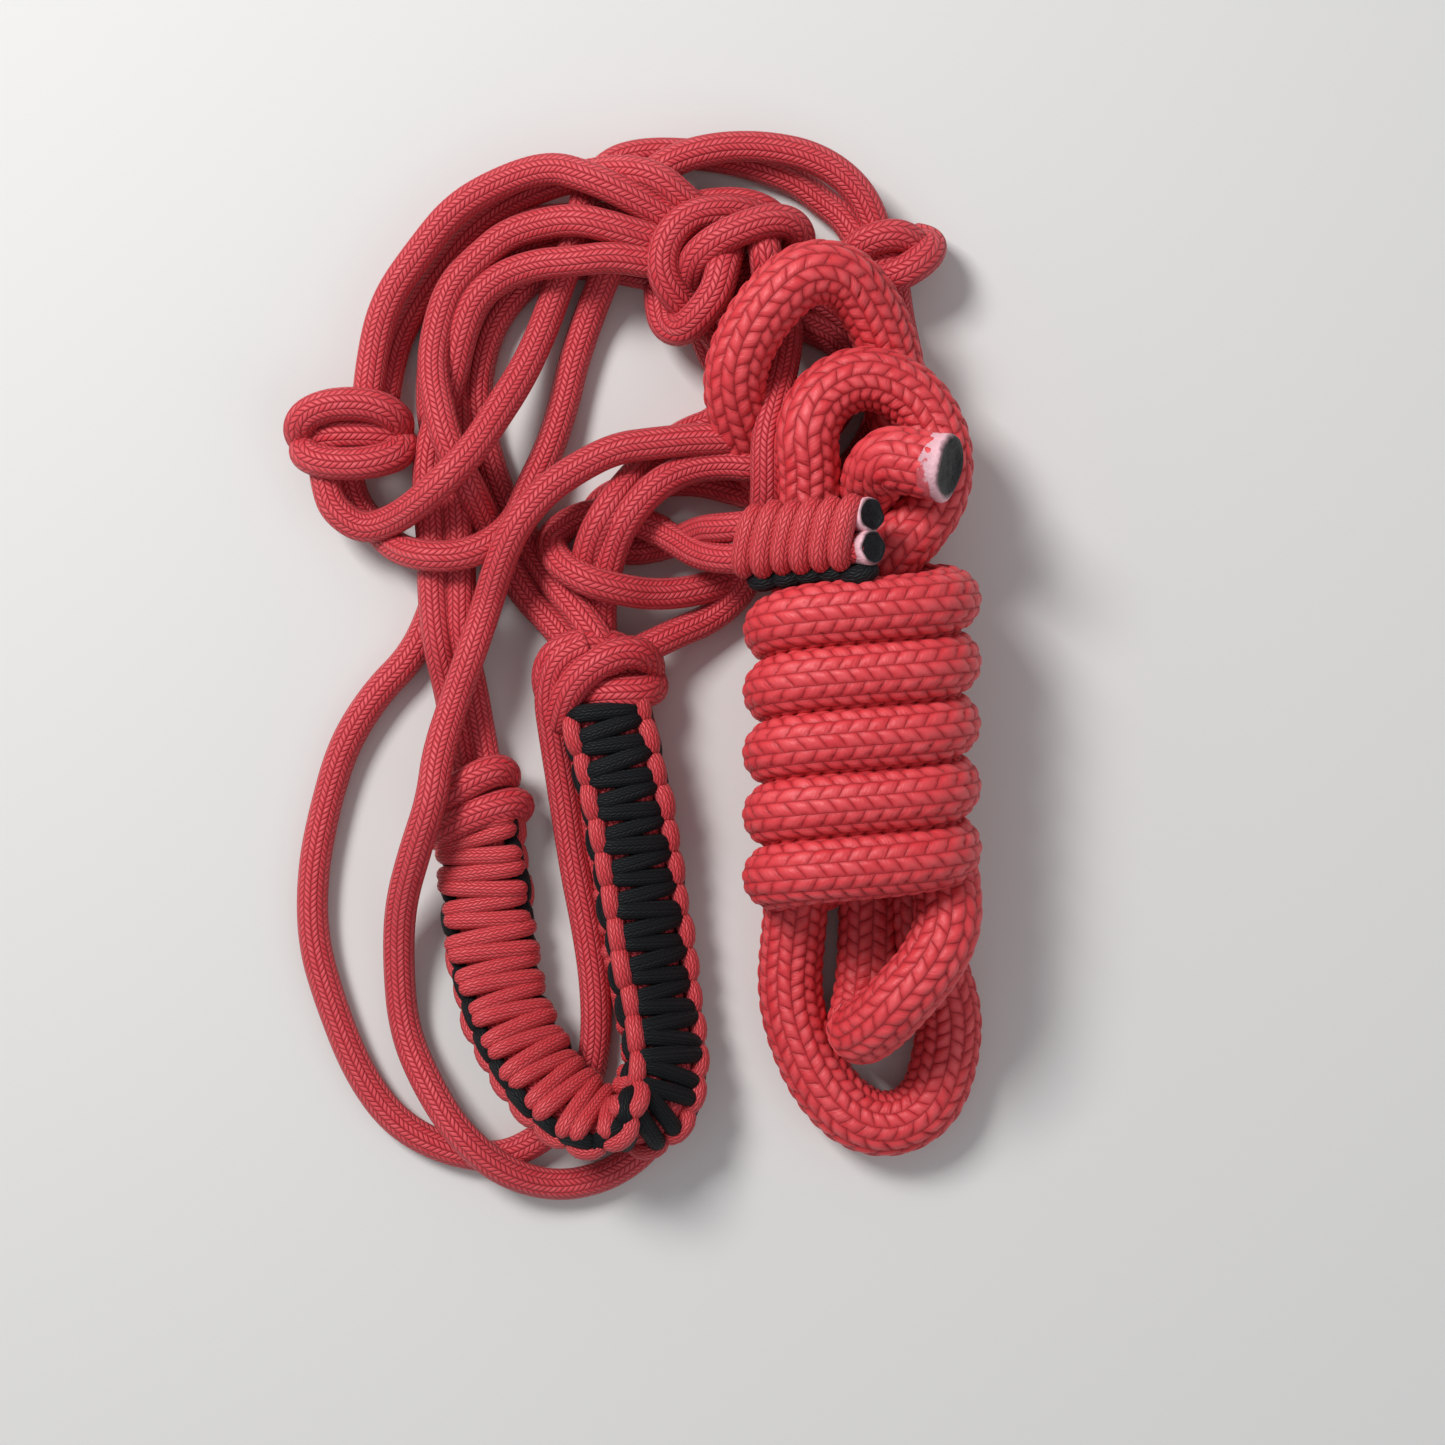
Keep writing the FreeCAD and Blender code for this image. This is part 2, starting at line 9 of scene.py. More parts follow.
import bpy
import numpy as np
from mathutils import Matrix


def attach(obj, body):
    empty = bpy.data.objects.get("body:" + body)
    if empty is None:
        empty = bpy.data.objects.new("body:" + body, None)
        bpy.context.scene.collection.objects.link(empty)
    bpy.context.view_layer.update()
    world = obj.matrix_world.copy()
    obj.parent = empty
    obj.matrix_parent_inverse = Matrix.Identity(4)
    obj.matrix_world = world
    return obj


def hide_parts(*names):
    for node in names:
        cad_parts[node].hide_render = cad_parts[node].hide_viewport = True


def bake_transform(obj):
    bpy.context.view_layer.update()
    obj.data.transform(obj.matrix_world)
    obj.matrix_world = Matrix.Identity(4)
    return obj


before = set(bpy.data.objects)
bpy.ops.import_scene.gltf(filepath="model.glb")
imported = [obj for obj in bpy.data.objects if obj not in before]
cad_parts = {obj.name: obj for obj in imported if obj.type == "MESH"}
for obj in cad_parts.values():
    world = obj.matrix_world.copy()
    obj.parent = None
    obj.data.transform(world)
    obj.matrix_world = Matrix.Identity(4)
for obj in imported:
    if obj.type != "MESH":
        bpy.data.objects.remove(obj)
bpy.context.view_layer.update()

bl_info = {
    "name": "Rope halter and lead rope",
    "version": (1, 0, 0),
    "blender": (4, 5, 0),
    "location": "3D View > Sidebar > Halter",
    "description": "Knotted rope halter with a woven noseband and a thick lead rope in a hank",
    "category": "Object",
}

BODY = "halter_and_lead"     # the body that everything but the two lifting ends rides on
UP = np.array((0.0, 0.0, 1.0))
MM = 0.001                   # metres in a millimetre
ROPE_MAP = "rope"            # UV map of every rope: turns around, and metres along

# Routes ---------------------------------------------------------------------
# Each point is (x, y, lift), with x and y in millimetres. The lift is how many rope
# thicknesses a strand is raised by what it lies on: a strand on the floor has 0.

HALTER_ROUTES = {
    "crown_strand_outer": [
        (-57, 59, 1), (-56, 69, 1), (-53, 80, 1), (-46, 90, 1), (-38, 100, 1), (-27, 106, 1),
        (-17, 108, 1.5), (-9, 105, 2), (-2, 102, 2), (6, 98, 1.7), (13, 94, 1.3),
    ],
    "crown_strand_inner": [
        (-54, 59, 0.4), (-53, 69, 0), (-49, 78, 0), (-43, 87, 0), (-36, 96, 0), (-28, 102, 0),
        (-18, 106, 0.4), (-9, 107, 1), (-1, 107, 1.7), (6, 105, 2), (11, 101, 1.8), (17, 96, 1.3),
    ],
    "poll_strand_outer": [
        (54, 92, 0.7), (52, 99, 0.9), (47, 106, 1), (39, 111, 1), (29, 113, 1), (20, 113, 1),
        (11, 111, 1), (4, 107, 1), (0, 102, 0.9), (-2, 95, 1), (-4, 89, 1), (-7, 83, 0.4),
        (-10, 76, 0), (-13, 67, 0), (-15, 58, 0), (-18, 48, 0.3), (-22, 39, 0.8), (-25, 31, 1.3),
        (-31, 26, 1.7), (-37, 24, 1.9), (-44, 24, 1.8), (-51, 26, 0.9), (-56, 31, 0), (-60, 35, 0),
        (-62, 41, 0.3), (-62, 47, 0.6),
    ],
    "poll_strand_inner": [
        (50, 92, 0.6), (47, 98, 0.3), (42, 102, 0), (36, 107, 0), (28, 110, 0), (20, 112, 0),
        (11, 113, 0), (2, 113, 0), (-5, 111, 0), (-10, 104, 0.4), (-11, 97, 1), (-13, 90, 1),
        (-16, 83, 0.6), (-19, 75, 0.4), (-23, 65, 0.9), (-28, 56, 1.5), (-33, 47, 2.3),
        (-38, 41, 2.8), (-44, 36, 2.3), (-51, 32, 1.3), (-58, 30, 1), (-64, 34, 1), (-66, 39, 0.9),
        (-67, 46, 0.9),
    ],
    "throat_strand_outer": [
        (15, 90, 1.3), (5, 92, 1.7), (-3, 94, 2), (-11, 96, 2), (-19, 96, 1.3), (-27, 94, 1),
        (-33, 89, 1), (-39, 83, 1), (-42, 74, 1), (-43, 65, 1.3), (-41, 55, 1.8), (-39, 48, 1.9),
        (-35, 40, 1.7), (-32, 33, 0.8), (-29, 26, 0), (-24, 17, 0), (-18, 11, 0.1), (-13, 5, 0.6),
        (-9, 0, 0.9),
    ],
    "throat_strand_inner": [
        (13, 85, 0.3), (5, 86, 0), (-5, 88, 0), (-14, 89, 0), (-22, 86, 0), (-28, 80, 0),
        (-32, 73, 0), (-34, 64, 0), (-34, 56, 0), (-32, 48, 0), (-29, 38, 0), (-23, 28, 0),
        (-17, 19, 0.4), (-11, 12, 1.2), (-6, 5, 1.5), (-4, -1, 1.3),
    ],
    "cheek_strand_outer": [
        (15, 86, 1.3), (5, 87, 1.7), (-4, 88, 2), (-12, 87, 2), (-20, 87, 1.5), (-28, 85, 1),
        (-34, 80, 1), (-37, 72, 0.9), (-39, 63, 0.7), (-42, 54, 0.7), (-44, 46, 0.9),
        (-44, 37, 0.9), (-43, 26, 0.9), (-43, 17, 0.9), (-42, 6, 1), (-40, -4, 0.3),
        (-38, -15, 0.3), (-36, -24, 0.7),
    ],
    "cheek_strand_inner": [
        (15, 89, 0.4), (5, 92, 0), (-5, 94, 0), (-13, 94, 0), (-21, 92, 0), (-29, 89, 0),
        (-34, 83, 0), (-38, 75, 0), (-39, 66, 0), (-38, 55, 0.3), (-38, 45, 0.9), (-38, 34, 0.9),
        (-37, 24, 0.9), (-37, 15, 0.9), (-37, 6, 0.8), (-35, -4, 0.1), (-33, -15, 0.3),
        (-31, -24, 0.7),
    ],
    "chin_strand_inner": [
        (13, 93, 0.3), (4, 97, 0), (-5, 99, 0), (-14, 99, 0), (-22, 98, 0), (-28, 95, 0),
        (-35, 89, 0), (-40, 83, 0), (-43, 74, 0), (-44, 65, 0), (-44, 56, 0), (-42, 47, 0),
        (-41, 37, 0), (-41, 24, 0), (-43, 14, 0), (-48, 3, 0), (-56, -5, 0), (-63, -16, 0),
        (-67, -29, 0), (-70, -44, 0), (-70, -59, 0), (-66, -73, 0), (-60, -88, 0), (-52, -99, 0),
        (-41, -105, 0), (-29, -107, 0), (-19, -102, 0), (-11, -94, 0), (-8, -83, 0), (-8, -70, 0),
        (-10, -56, 0), (-13, -42, 0), (-15, -27, 0.1), (-17, -14, 0.6), (-18, -5, 1.2),
        (-15, 3, 1.7), (-9, 5, 1.7),
    ],
    "chin_strand_outer": [
        (16, 75, 0.7), (23, 66, 1.2), (28, 58, 1.7), (28, 52, 1.9), (22, 49, 2), (14, 49, 2),
        (5, 48, 2.1), (-3, 47, 2.1), (-11, 43, 2.1), (-18, 38, 2.3), (-24, 31, 2.4), (-28, 23, 1.9),
        (-31, 14, 1.2), (-34, 4, 1.7), (-38, -7, 1.5), (-41, -18, 2.1), (-42, -28, 2.6),
        (-46, -39, 2), (-50, -51, 1), (-51, -64, 0.3), (-50, -79, 0), (-44, -91, 0.6),
        (-37, -101, 1), (-28, -109, 0.7), (-17, -113, 0.1), (-6, -111, 0), (3, -105, 0),
        (7, -97, 0), (5, -88, 0), (0, -78, 0), (-2, -68, 0), (-3, -58, 0), (-5, -47, 0),
        (-8, -35, 0), (-9, -24, 0), (-9, -14, 0.2), (-8, -6, 0.7),
    ],
    "tie_strand_outer": [
        (-6, 3, 0.6), (-7, 11, 0.6), (-6, 18, 1), (-4, 26, 1.5), (-1, 32, 2), (5, 39, 2),
        (12, 43, 1.6), (20, 44, 1.7), (27, 43, 2), (34, 45, 1.5), (41, 51, 0.7), (46, 58, 0.3),
        (48, 66, 0), (45, 72, 0), (38, 75, 0), (31, 79, 0.1), (23, 83, 0.4),
    ],
    "tie_strand_inner": [
        (-10, 4, 0.6), (-10, 12, 0.6), (-10, 20, 0.9), (-9, 27, 1.5), (-5, 34, 2), (0, 41, 1.3),
        (5, 47, 0.4), (12, 52, 0), (18, 54, 0), (22, 59, 0), (21, 64, 0), (17, 69, 0.1),
        (15, 75, 0.6),
    ],
    "tie_strand_low": [
        (29, 91, 0.4), (31, 83, 0.3), (34, 74, 0.9), (33, 66, 1.8), (31, 57, 2.6), (29, 49, 2.8),
        (29, 42, 2.8), (29, 35, 2.5), (28, 29, 1.9), (26, 22, 1), (23, 16, 0.3), (17, 11, 0.2),
        (10, 8, 0.6), (4, 5, 1), (-2, 2, 1.3),
    ],
    "tail_strand_outer": [
        (14.5, 24.2, 2.2), (9, 28, 1.3), (4, 31, 1), (-2, 33, 1), (-8, 34, 0.7), (-14, 32, 0.4),
        (-18, 28, 0.6), (-16, 23, 1.3), (-10, 19, 2), (-3, 17, 1.8), (5, 16, 1), (14, 17, 0.7),
        (23, 20, 0.3), (32, 23, 0), (41, 27, 0), (49, 33, 0), (56, 41, 0), (60, 51, 0), (61, 61, 0),
        (60, 69, 0), (58, 77, 0.1), (57, 84, 0.4),
    ],
    "tail_strand_inner": [
        (15.3, 29.6, 2.1), (11, 28.4, 0.8), (6, 27, 0.1), (0, 26, 0), (-6, 27, 0), (-9, 32, 0),
        (-7, 37, 0), (0, 40, 0.2), (8, 41, 0.4), (15, 41, 0.4), (23, 39, 0.3), (30, 37, 0),
        (37, 37, 0), (45, 41, 0), (51, 48, 0), (55, 57, 0), (55, 66, 0), (51, 73, 0), (45, 78, 0),
        (39, 82, 0), (37, 89, 0.1),
    ],
}
LEAD_ROUTES = {
    "lead_eye_loop": [
        (57, 53, 0.4), (57, 61, 0.4), (55, 69, 0.6), (51, 77, 0.9), (45, 83, 1.2), (37, 83, 1.4),
        (30, 77, 1.4), (25, 70, 1.3), (22, 62, 1.1), (23, 54, 0.7), (26, 47, 0.2), (32, 40, 0),
        (35, 32, 0), (37, 24, 0), (37, 16, 0.1),
    ],
    "lead_locking_loop": [
        (49, 16, 1.1), (53, 22, 1.2), (59, 28, 1.2), (64, 34, 1.1), (66, 42, 1.1), (65, 50, 1),
        (60, 58, 1), (50, 62, 1.1), (41, 58, 1.2), (37, 50, 1.3), (38, 42, 1.1), (38, 34, 1),
        (39, 26, 0.9), (41, 16, 0.8),
    ],
    "lead_lower_bight": [
        (36, -46, 0.4), (35, -57, 0.1), (34, -69, 0), (36, -79, 0), (41, -90, 0), (49, -98, 0),
        (58, -99, 0), (65, -94, 0), (68, -85, 0), (69, -76, 0), (67, -68, 0.1), (64, -61, 0.2),
        (63, -54, 0.3), (63, -45, 0.3),
    ],
    "lead_turn_bight": [
        (67, -45, 1.2), (67, -54, 1.5), (63, -62, 1.6), (57, -69, 1.5), (53, -74, 1.2),
        (49, -78, 0.7), (49, -77, 0.2), (51, -70, 0), (52, -59, 0), (52, -46, 0.1),
    ],
    "lead_free_end": [(50, 16, 0.5), (50, 26, 0.4), (50, 36, 0.8)],
}

# Middle of the noseband, as (x, y, lift, lean of the band in degrees).
NOSE_ROUTE = [
    (-34.5, -31, 0, -20), (-32.5, -39, 0, -18), (-32, -49, 0, -8), (-30.5, -60.5, 0, 12),
    (-28.5, -69.5, 0, 24), (-23.5, -81.5, 0.5, 30), (-15.5, -91.5, 1, 32), (-7.5, -97, 1, 32),
    (-1, -97.5, 1, 30), (4.5, -94.5, 1, 30), (7, -89, 0.8, 30), (7, -81.5, 0.4, 30),
    (5.5, -72, 0.1, 28), (3.5, -60.5, 0.1, 24), (2, -48, 0.2, 18), (0, -35, 0.5, 12),
    (-2, -24, 0.7, 6), (-4.5, -14, 0.8, 4), (-6, -7.5, 0.8, 2),
]

# Turns of each knot, as (x, y, z) in millimetres, from one hidden end to the other.
KNOT_TURNS = {
    "left_cheek_knot": [
        [
            (-69, 48, 4.5), (-72.2, 50, 8.5), (-71.2, 54, 12), (-66, 56.6, 13.5), (-58, 57.1, 13.5),
            (-52, 55.6, 12), (-49.8, 52.4, 8), (-53, 50, 5),
        ],
        [
            (-68, 50.5, 5), (-71.4, 48.2, 9), (-69.2, 45, 12.5), (-62, 43.8, 13.8),
            (-55, 44.4, 13.5), (-50.2, 46.2, 11.2), (-49.2, 49.4, 7), (-53, 51, 4.5),
        ],
        [
            (-71, 50, 6), (-66, 50.6, 9.5), (-60, 50.7, 10), (-54, 50.6, 9.5), (-50, 50.3, 6.5),
        ],
    ],
    "right_cheek_knot": [
        [
            (45, 87, 4.5), (47.4, 90, 8.5), (51.5, 92.6, 11.8), (57, 93.6, 12.5), (61.2, 92.2, 10),
            (62.5, 89.2, 6.5), (60, 87, 4.5),
        ],
        [
            (50.5, 85, 4.5), (53.8, 84, 8.8), (58, 85, 12), (62, 87.4, 12.5), (64.5, 90.2, 10.5),
            (64.8, 93, 6.8), (62, 94, 4.5),
        ],
        [
            (49, 88, 6), (55, 88.4, 8.5), (60, 90, 7.8), (63, 91.5, 6),
        ],
    ],
    "left_nose_knot": [
        [
            (-42.5, -31, 4.5), (-41.4, -28.6, 10), (-38, -26.2, 13), (-33.3, -23.4, 13.5),
            (-29, -21.6, 11.8), (-27, -22.8, 7.8), (-28.5, -25, 4.5),
        ],
        [
            (-43, -36, 4.5), (-41.2, -34.6, 9.5), (-36, -32.2, 12.8), (-30, -30, 13),
            (-25.4, -28.8, 10.4), (-24.2, -29.8, 6.2), (-27, -32, 4),
        ],
        [
            (-42, -31.5, 6), (-36, -28.2, 8.8), (-30, -25.6, 8), (-27, -26, 5.5),
        ],
    ],
    "right_nose_knot": [
        [
            (-16, -9, 5), (-18.4, -4.6, 8.5), (-17.8, 1.6, 11.5), (-13.5, 4.7, 13.5), (-7, 5.3, 13),
            (-2, 4.4, 10), (1, 1.8, 6),
        ],
        [
            (3.5, -1.5, 5), (4, 1.8, 9.5), (1.2, 3.8, 13.8), (-4.5, 2.9, 15.8), (-11, -1.6, 15.5),
            (-14.6, -7, 13), (-15.8, -11.5, 8.5),
        ],
        [
            (-13, -6.5, 7), (-8, -5.4, 12), (-2, -5.1, 13.8), (3, -5, 12), (5, -3.8, 7.2),
            (3.5, -1.5, 4),
        ],
        [
            (-12, -3, 6), (-6, -1.5, 9.5), (0, -0.8, 9), (3, -1, 6),
        ],
    ],
    "throat_knot": [
        [
            (30, 92, 8), (28.5, 96, 11), (23.8, 98.2, 14), (15, 97.5, 16.5), (9.7, 94.3, 17.5),
            (6.9, 88.9, 17), (7.1, 83.6, 16), (9.7, 79.7, 14), (13.3, 77.4, 11), (19, 80, 7),
        ],
        [
            (12, 82, 10), (12.7, 86.1, 16.5), (16.8, 89.8, 20.5), (23.8, 93.2, 21.5),
            (31.1, 95.3, 20), (35.5, 94.3, 17), (36.5, 90.5, 13), (34, 86, 8),
        ],
        [
            (22, 92.5, 13), (20, 86.5, 19.5), (18.7, 80.1, 20.5), (15.2, 75.5, 18.5),
            (11.4, 72.5, 14.5), (8.2, 73.5, 10.5), (6.3, 77, 8.5), (6, 83, 6.5),
        ],
        [
            (8.5, 96, 7), (12.7, 100.3, 7.5), (20.4, 101, 8.5), (25.7, 100.2, 9.5), (30.9, 98, 8.5),
            (34, 94, 6),
        ],
        [
            (27.5, 95, 13), (28.5, 90.4, 18.5), (29.1, 86, 18.5), (29.8, 80, 12.5), (30, 75, 6.5),
        ],
        [
            (10, 88, 4.5), (17, 86, 5.5), (24, 86.5, 5.5), (31, 89, 4.5),
        ],
    ],
}

FLOOR_GAP = 0.0002           # between the noseband and the floor
HANK_CENTRE = (0.049, -0.0148)
HANK_HEIGHT = 0.044
TAIL_PIVOT = np.array((0.0205, 0.026, 0.0255))
TAIL_RISE = math.radians(27.5)
TAIL_AZIMUTH = math.radians(2.8)
TAIL_LENGTH = 0.034          # from the bend to the cut ends
TAIL_SEAM = 1                # last point of a tail strand's route in its end piece
TAIL_ENDS = {
    "tail_strand_inner": ("tail_core_upper", "tail_seal_upper_face", 1),
    "tail_strand_outer": ("tail_core_lower", "tail_seal_lower_face", -1),
}
TAIL_BLEND = 0.006           # from the bend's middle, each way along the tail
TIP_PIVOT = np.array((0.053, 0.0435, 0.0325))
TIP_TARGET = np.array((0.0663, 0.0402, 0.0390))
TIP_BEND = (0.50, 0.35, 0.75)  # way of the lead rope through the bend of its free end
TIP_BLEND = 0.007            # as TAIL_BLEND, for the lead rope
SEAL_T = 0.0016              # thickness of a melted end
SKIRT = 1.9                  # how far its rim runs back down the rope, in thicknesses
CUT_TILT = math.radians(24.0)  # how far the tail's cut faces are tipped up
CORE_OFFSET = 0.0033         # from the middle of a weave to the middle of each core

# Braids: spacing of the rings in metres, and shares of a rope's radius.
THICK_SPACING = 0.00075
THICK_SIDES = 5              # sides of the tube to each column of stitches
THICK_SLANT = 0.42           # how far a stitch leans along the rope over one column, in stitches
THICK_GROOVE = 0.865         # bottom of the grooves between stitches
THICK_CREST = 0.14           # height of a stitch over them
THIN_SPACING = 0.0009
THIN_SIDES = 32
THIN_STRETCH = (0.95, 1.06)  # a strand that is pressed flat has its height and width changed so
THIN_MEAN = 0.985
THIN_RIDGES = 7
THIN_RIDGE = 0.016           # height of a ridge along the thin rope
THIN_TWIST = 9.0             # turn of the ridges in radians to the metre
KNOT_SPACING = 0.0006
KNOT_STRETCH = (1.0, 1.12)
SWELLING_STEP = 0.012        # from one random swelling of a rope to the next
THICK_SWELLING = 0.012
THIN_SWELLING = 0.014
HIGHLIGHT_PALENESS = 0.17        # how much paler than its rope the painted highlight on a stitch's crest is
HIGHLIGHT_SHARE = 0.9            # how strongly the painted highlights on the crests show
CORD_COLUMNS = 16            # columns of stitches round the woven cord
FUSED_COLOUR = (0.004, 0.0045, 0.006)   # face of a melted end
SINGED_COLOUR = (0.56, 0.10, 0.12)      # rope just behind its rim


# Sizes and colours ----------------------------------------------------------

def length_property(name, description, default):
    """A length in metres with a name, a description and a default."""
    return bpy.props.FloatProperty(
        name=name, description=description, default=default, min=0.0, unit="LENGTH", precision=5
    )


def colour_property(name, description, default):
    """A colour with a name, a description and a default."""
    return bpy.props.FloatVectorProperty(
        name=name, description=description, default=default, size=3,
        subtype="COLOR", min=0.0, max=1.0,
    )


class HalterSizes(bpy.types.PropertyGroup):
    """Sizes of the ropes and of their braids."""

    thin: length_property("Halter rope", "Diameter of the thin rope", 0.0065)
    thick: length_property("Lead rope", "Diameter of the thick rope", 0.014)
    thick_stitch: length_property("Lead stitch", "Length of a stitch of the thick braid", 0.0034)
    thin_stitch: length_property("Halter stitch", "Length of a stitch of the thin braid", 0.0013)
    cord_stitch: length_property("Weave stitch", "Length of a stitch of the woven cord", 0.0012)
    hank_pitch: length_property("Hank pitch", "From one wrap of the hank to the next", 0.01305)
    hank_width: length_property("Hank width", "Hank across its wraps", 0.051)
    weave_cord: length_property("Weave cord", "Diameter of the cord that the bands are woven of", 0.0037)
    nose_step: length_property("Noseband step", "From one bar of the noseband to the next", 0.0036)
    tail_step: length_property("Tail step", "From one bar of the tail's weave to the next", 0.0040)
    thick_columns: bpy.props.IntProperty(
        name="Lead columns", description="Columns of stitches round the thick rope", default=14, min=6
    )
    thin_columns: bpy.props.IntProperty(
        name="Halter columns", description="Columns of stitches round the thin rope", default=14, min=6
    )
    hank_turns: bpy.props.IntProperty(
        name="Hank wraps", description="Wraps of rope round the hank", default=5, min=2
    )


class HalterColours(bpy.types.PropertyGroup):
    """Colours of the ropes, the weave and the melted ends."""

    lead: colour_property("Lead rope", "Thick rope", (0.64, 0.020, 0.030))
    halter: colour_property("Halter rope", "Thin rope", (0.60, 0.022, 0.036))
    red_cord: colour_property("Red cord", "Red cord of the weave", (0.62, 0.026, 0.036))
    black_cord: colour_property("Black cord", "Black cord of the weave", (0.0045, 0.0065, 0.0080))
    melted: colour_property("Melted rim", "Rim of a melted end", (0.62, 0.36, 0.40))
    floor: colour_property("Floor", "Plain floor", (0.70, 0.69, 0.67))


def sizes():
    """The sizes of this scene."""
    return bpy.context.scene.halter_sizes


def colours():
    """The colours of this scene."""
    return bpy.context.scene.halter_colours


# Materials ------------------------------------------------------------------

class Socket:
    """A node's output that can be used in sums."""

    def __init__(self, graph, output):
        self.graph = graph
        self.output = output

    def maths(self, operation, *others):
        """A Math node on this socket and the others."""
        inputs = dict(enumerate((self,) + others))
        return self.graph.add("ShaderNodeMath", {"operation": operation}, inputs)

    def __add__(self, other):
        return self.maths("ADD", other)

    __radd__ = __add__

    def __mul__(self, other):
        return self.maths("MULTIPLY", other)

    __rmul__ = __mul__

    def __sub__(self, other):
        return self.maths("SUBTRACT", other)

    def __rsub__(self, other):
        return self.graph.add("ShaderNodeMath", {"operation": "SUBTRACT"}, {0: other, 1: self})


class Graph:
    """The node tree of one material."""

    def __init__(self, name):
        self.material = bpy.data.materials.new(name)
        self.material.use_nodes = True
        self.tree = self.material.node_tree
        self.tree.nodes.clear()

    def add(self, kind, settings=None, inputs=None, output=0):
        """A node of a type, with its settings first and then its sockets' values or links."""
        node = self.tree.nodes.new(kind)
        for name, value in (settings or {}).items():
            if name == "stops":
                self.set_stops(node.color_ramp, value)
            else:
                setattr(node, name, value)
        for name, value in (inputs or {}).items():
            if isinstance(value, Socket):
                self.tree.links.new(value.output, node.inputs[name])
            else:
                node.inputs[name].default_value = value
        return Socket(self, node.outputs[output]) if len(node.outputs) else None

    @staticmethod
    def set_stops(ramp, stops):
        """Give a ramp its stops, each a position and a colour."""
        while len(ramp.elements) < len(stops):
            ramp.elements.new(1.0)
        for element, (position, colour) in zip(ramp.elements, stops):
            element.position = position
            element.color = colour

    def mix(self, share, first, second):
        """Two colours mixed by a share."""
        return self.add("ShaderNodeMix", {"data_type": "RGBA"}, {0: share, 6: first, 7: second}, 2)

    def noise(self, vector, scale, detail=2.0):
        """Noise from 0 to 1 on a vector."""
        inputs = {"Vector": vector, "Scale": scale, "Detail": detail}
        return self.add("ShaderNodeTexNoise", None, inputs)

    def finish(self, colour, roughness, normal=None, sheen=0.0, shine=0.5):
        """The surface shader, and the material that it belongs to."""
        inputs = {"Base Color": colour, "Roughness": roughness, "Specular IOR Level": shine}
        inputs.update({"Sheen Weight": sheen, "Sheen Roughness": 0.4})
        if normal is not None:
            inputs["Normal"] = normal
        shader = self.add("ShaderNodeBsdfPrincipled", None, inputs)
        self.add("ShaderNodeOutputMaterial", None, {"Surface": shader})
        return self.material


def shade(colour, factor):
    """A colour made lighter or darker, with full alpha."""
    return tuple(min(1.0, part * factor) for part in colour) + (1.0,)


def braid_material(name, colour, columns, stitch, slant, relief, fibre, shine=0.5):
    """A plaited rope: stitches in columns, each of fine fibres, with painted shade in the gaps and
    painted highlights on the crests.
    """
    graph = Graph(name)
    uv = graph.add("ShaderNodeUVMap", {"uv_map": ROPE_MAP})
    around = graph.add("ShaderNodeSeparateXYZ", None, {0: uv}, output=0)
    along = graph.add("ShaderNodeSeparateXYZ", None, {0: uv}, output=1)
    columns_in = around * columns
    column = columns_in.maths("FLOOR")
    across = columns_in - column - 0.5
    odd = column.maths("MODULO", 2.0)
    lean = 1.0 - odd * 2.0
    step = along * (1.0 / stitch) + lean * across * slant + odd * 0.5
    index = step.maths("FLOOR")
    within = step - index - 0.5
    crosswise = 1.0 - (across * 2.0).maths("ABSOLUTE").maths("POWER", 3.0)
    lengthwise = 1.0 - (within * 2.0).maths("ABSOLUTE").maths("POWER", 3.0)
    height = (crosswise * lengthwise).maths("MAXIMUM", 0.0).maths("SQRT")
    fibre_place = graph.add(
        "ShaderNodeCombineXYZ", None,
        {0: within * 9.0, 1: across * 1.6, 2: column * 7.3 + index * 3.1},
    )
    fibres = graph.noise(fibre_place, 1.0, 3.0)
    place = graph.add("ShaderNodeTexCoord", None, None, output=3)
    broad = graph.noise(place, 34.0, 2.0)
    fluff = graph.noise(place, 900.0, 2.0)
    # Painted shade: the colour darkens to a sixth in the gaps between stitches.
    painted_gap_shade = graph.mix(height.maths("POWER", 0.8), shade(colour, 0.16), shade(colour, 1.0))
    stitch_place = graph.add("ShaderNodeCombineXYZ", None, {0: column * 5.7, 1: index * 3.3})
    tone = graph.noise(stitch_place, 1.0, 0.0)
    # Paler fibre streaks over the painted shade of the gaps.
    fibres_and_gap_shade = graph.mix(fibres * 0.45, painted_gap_shade, shade(colour, 1.35))
    # Painted highlight: a paler pink on the crest of each stitch, stronger on some stitches than others
    # at random.
    crest = tuple(min(1.0, part * 1.2 + HIGHLIGHT_PALENESS * max(colour)) for part in colour) + (1.0,)
    lit = graph.mix(height.maths("POWER", 3.0) * tone * HIGHLIGHT_SHARE, fibres_and_gap_shade, crest)
    varied = graph.mix(broad * 0.35, lit, shade(colour, 0.62))
    # Fine pale fuzz: partly stray fibres and partly painted sheen, paler on shinier ropes.
    pale = tuple(part + 0.06 * shine for part in shade(colour, 1.2)[:3]) + (1.0,)
    soft = graph.mix(fluff * 0.10, varied, pale)
    surface = height * relief + fibres * fibre + fluff * (fibre * 0.5)
    bump = graph.add("ShaderNodeBump", None, {"Strength": 0.75, "Distance": 0.001, "Height": surface})
    roughness = 0.72 - height * 0.16 - fibres * 0.12
    return graph.finish(soft, roughness, bump, sheen=0.08 * shine, shine=shine)


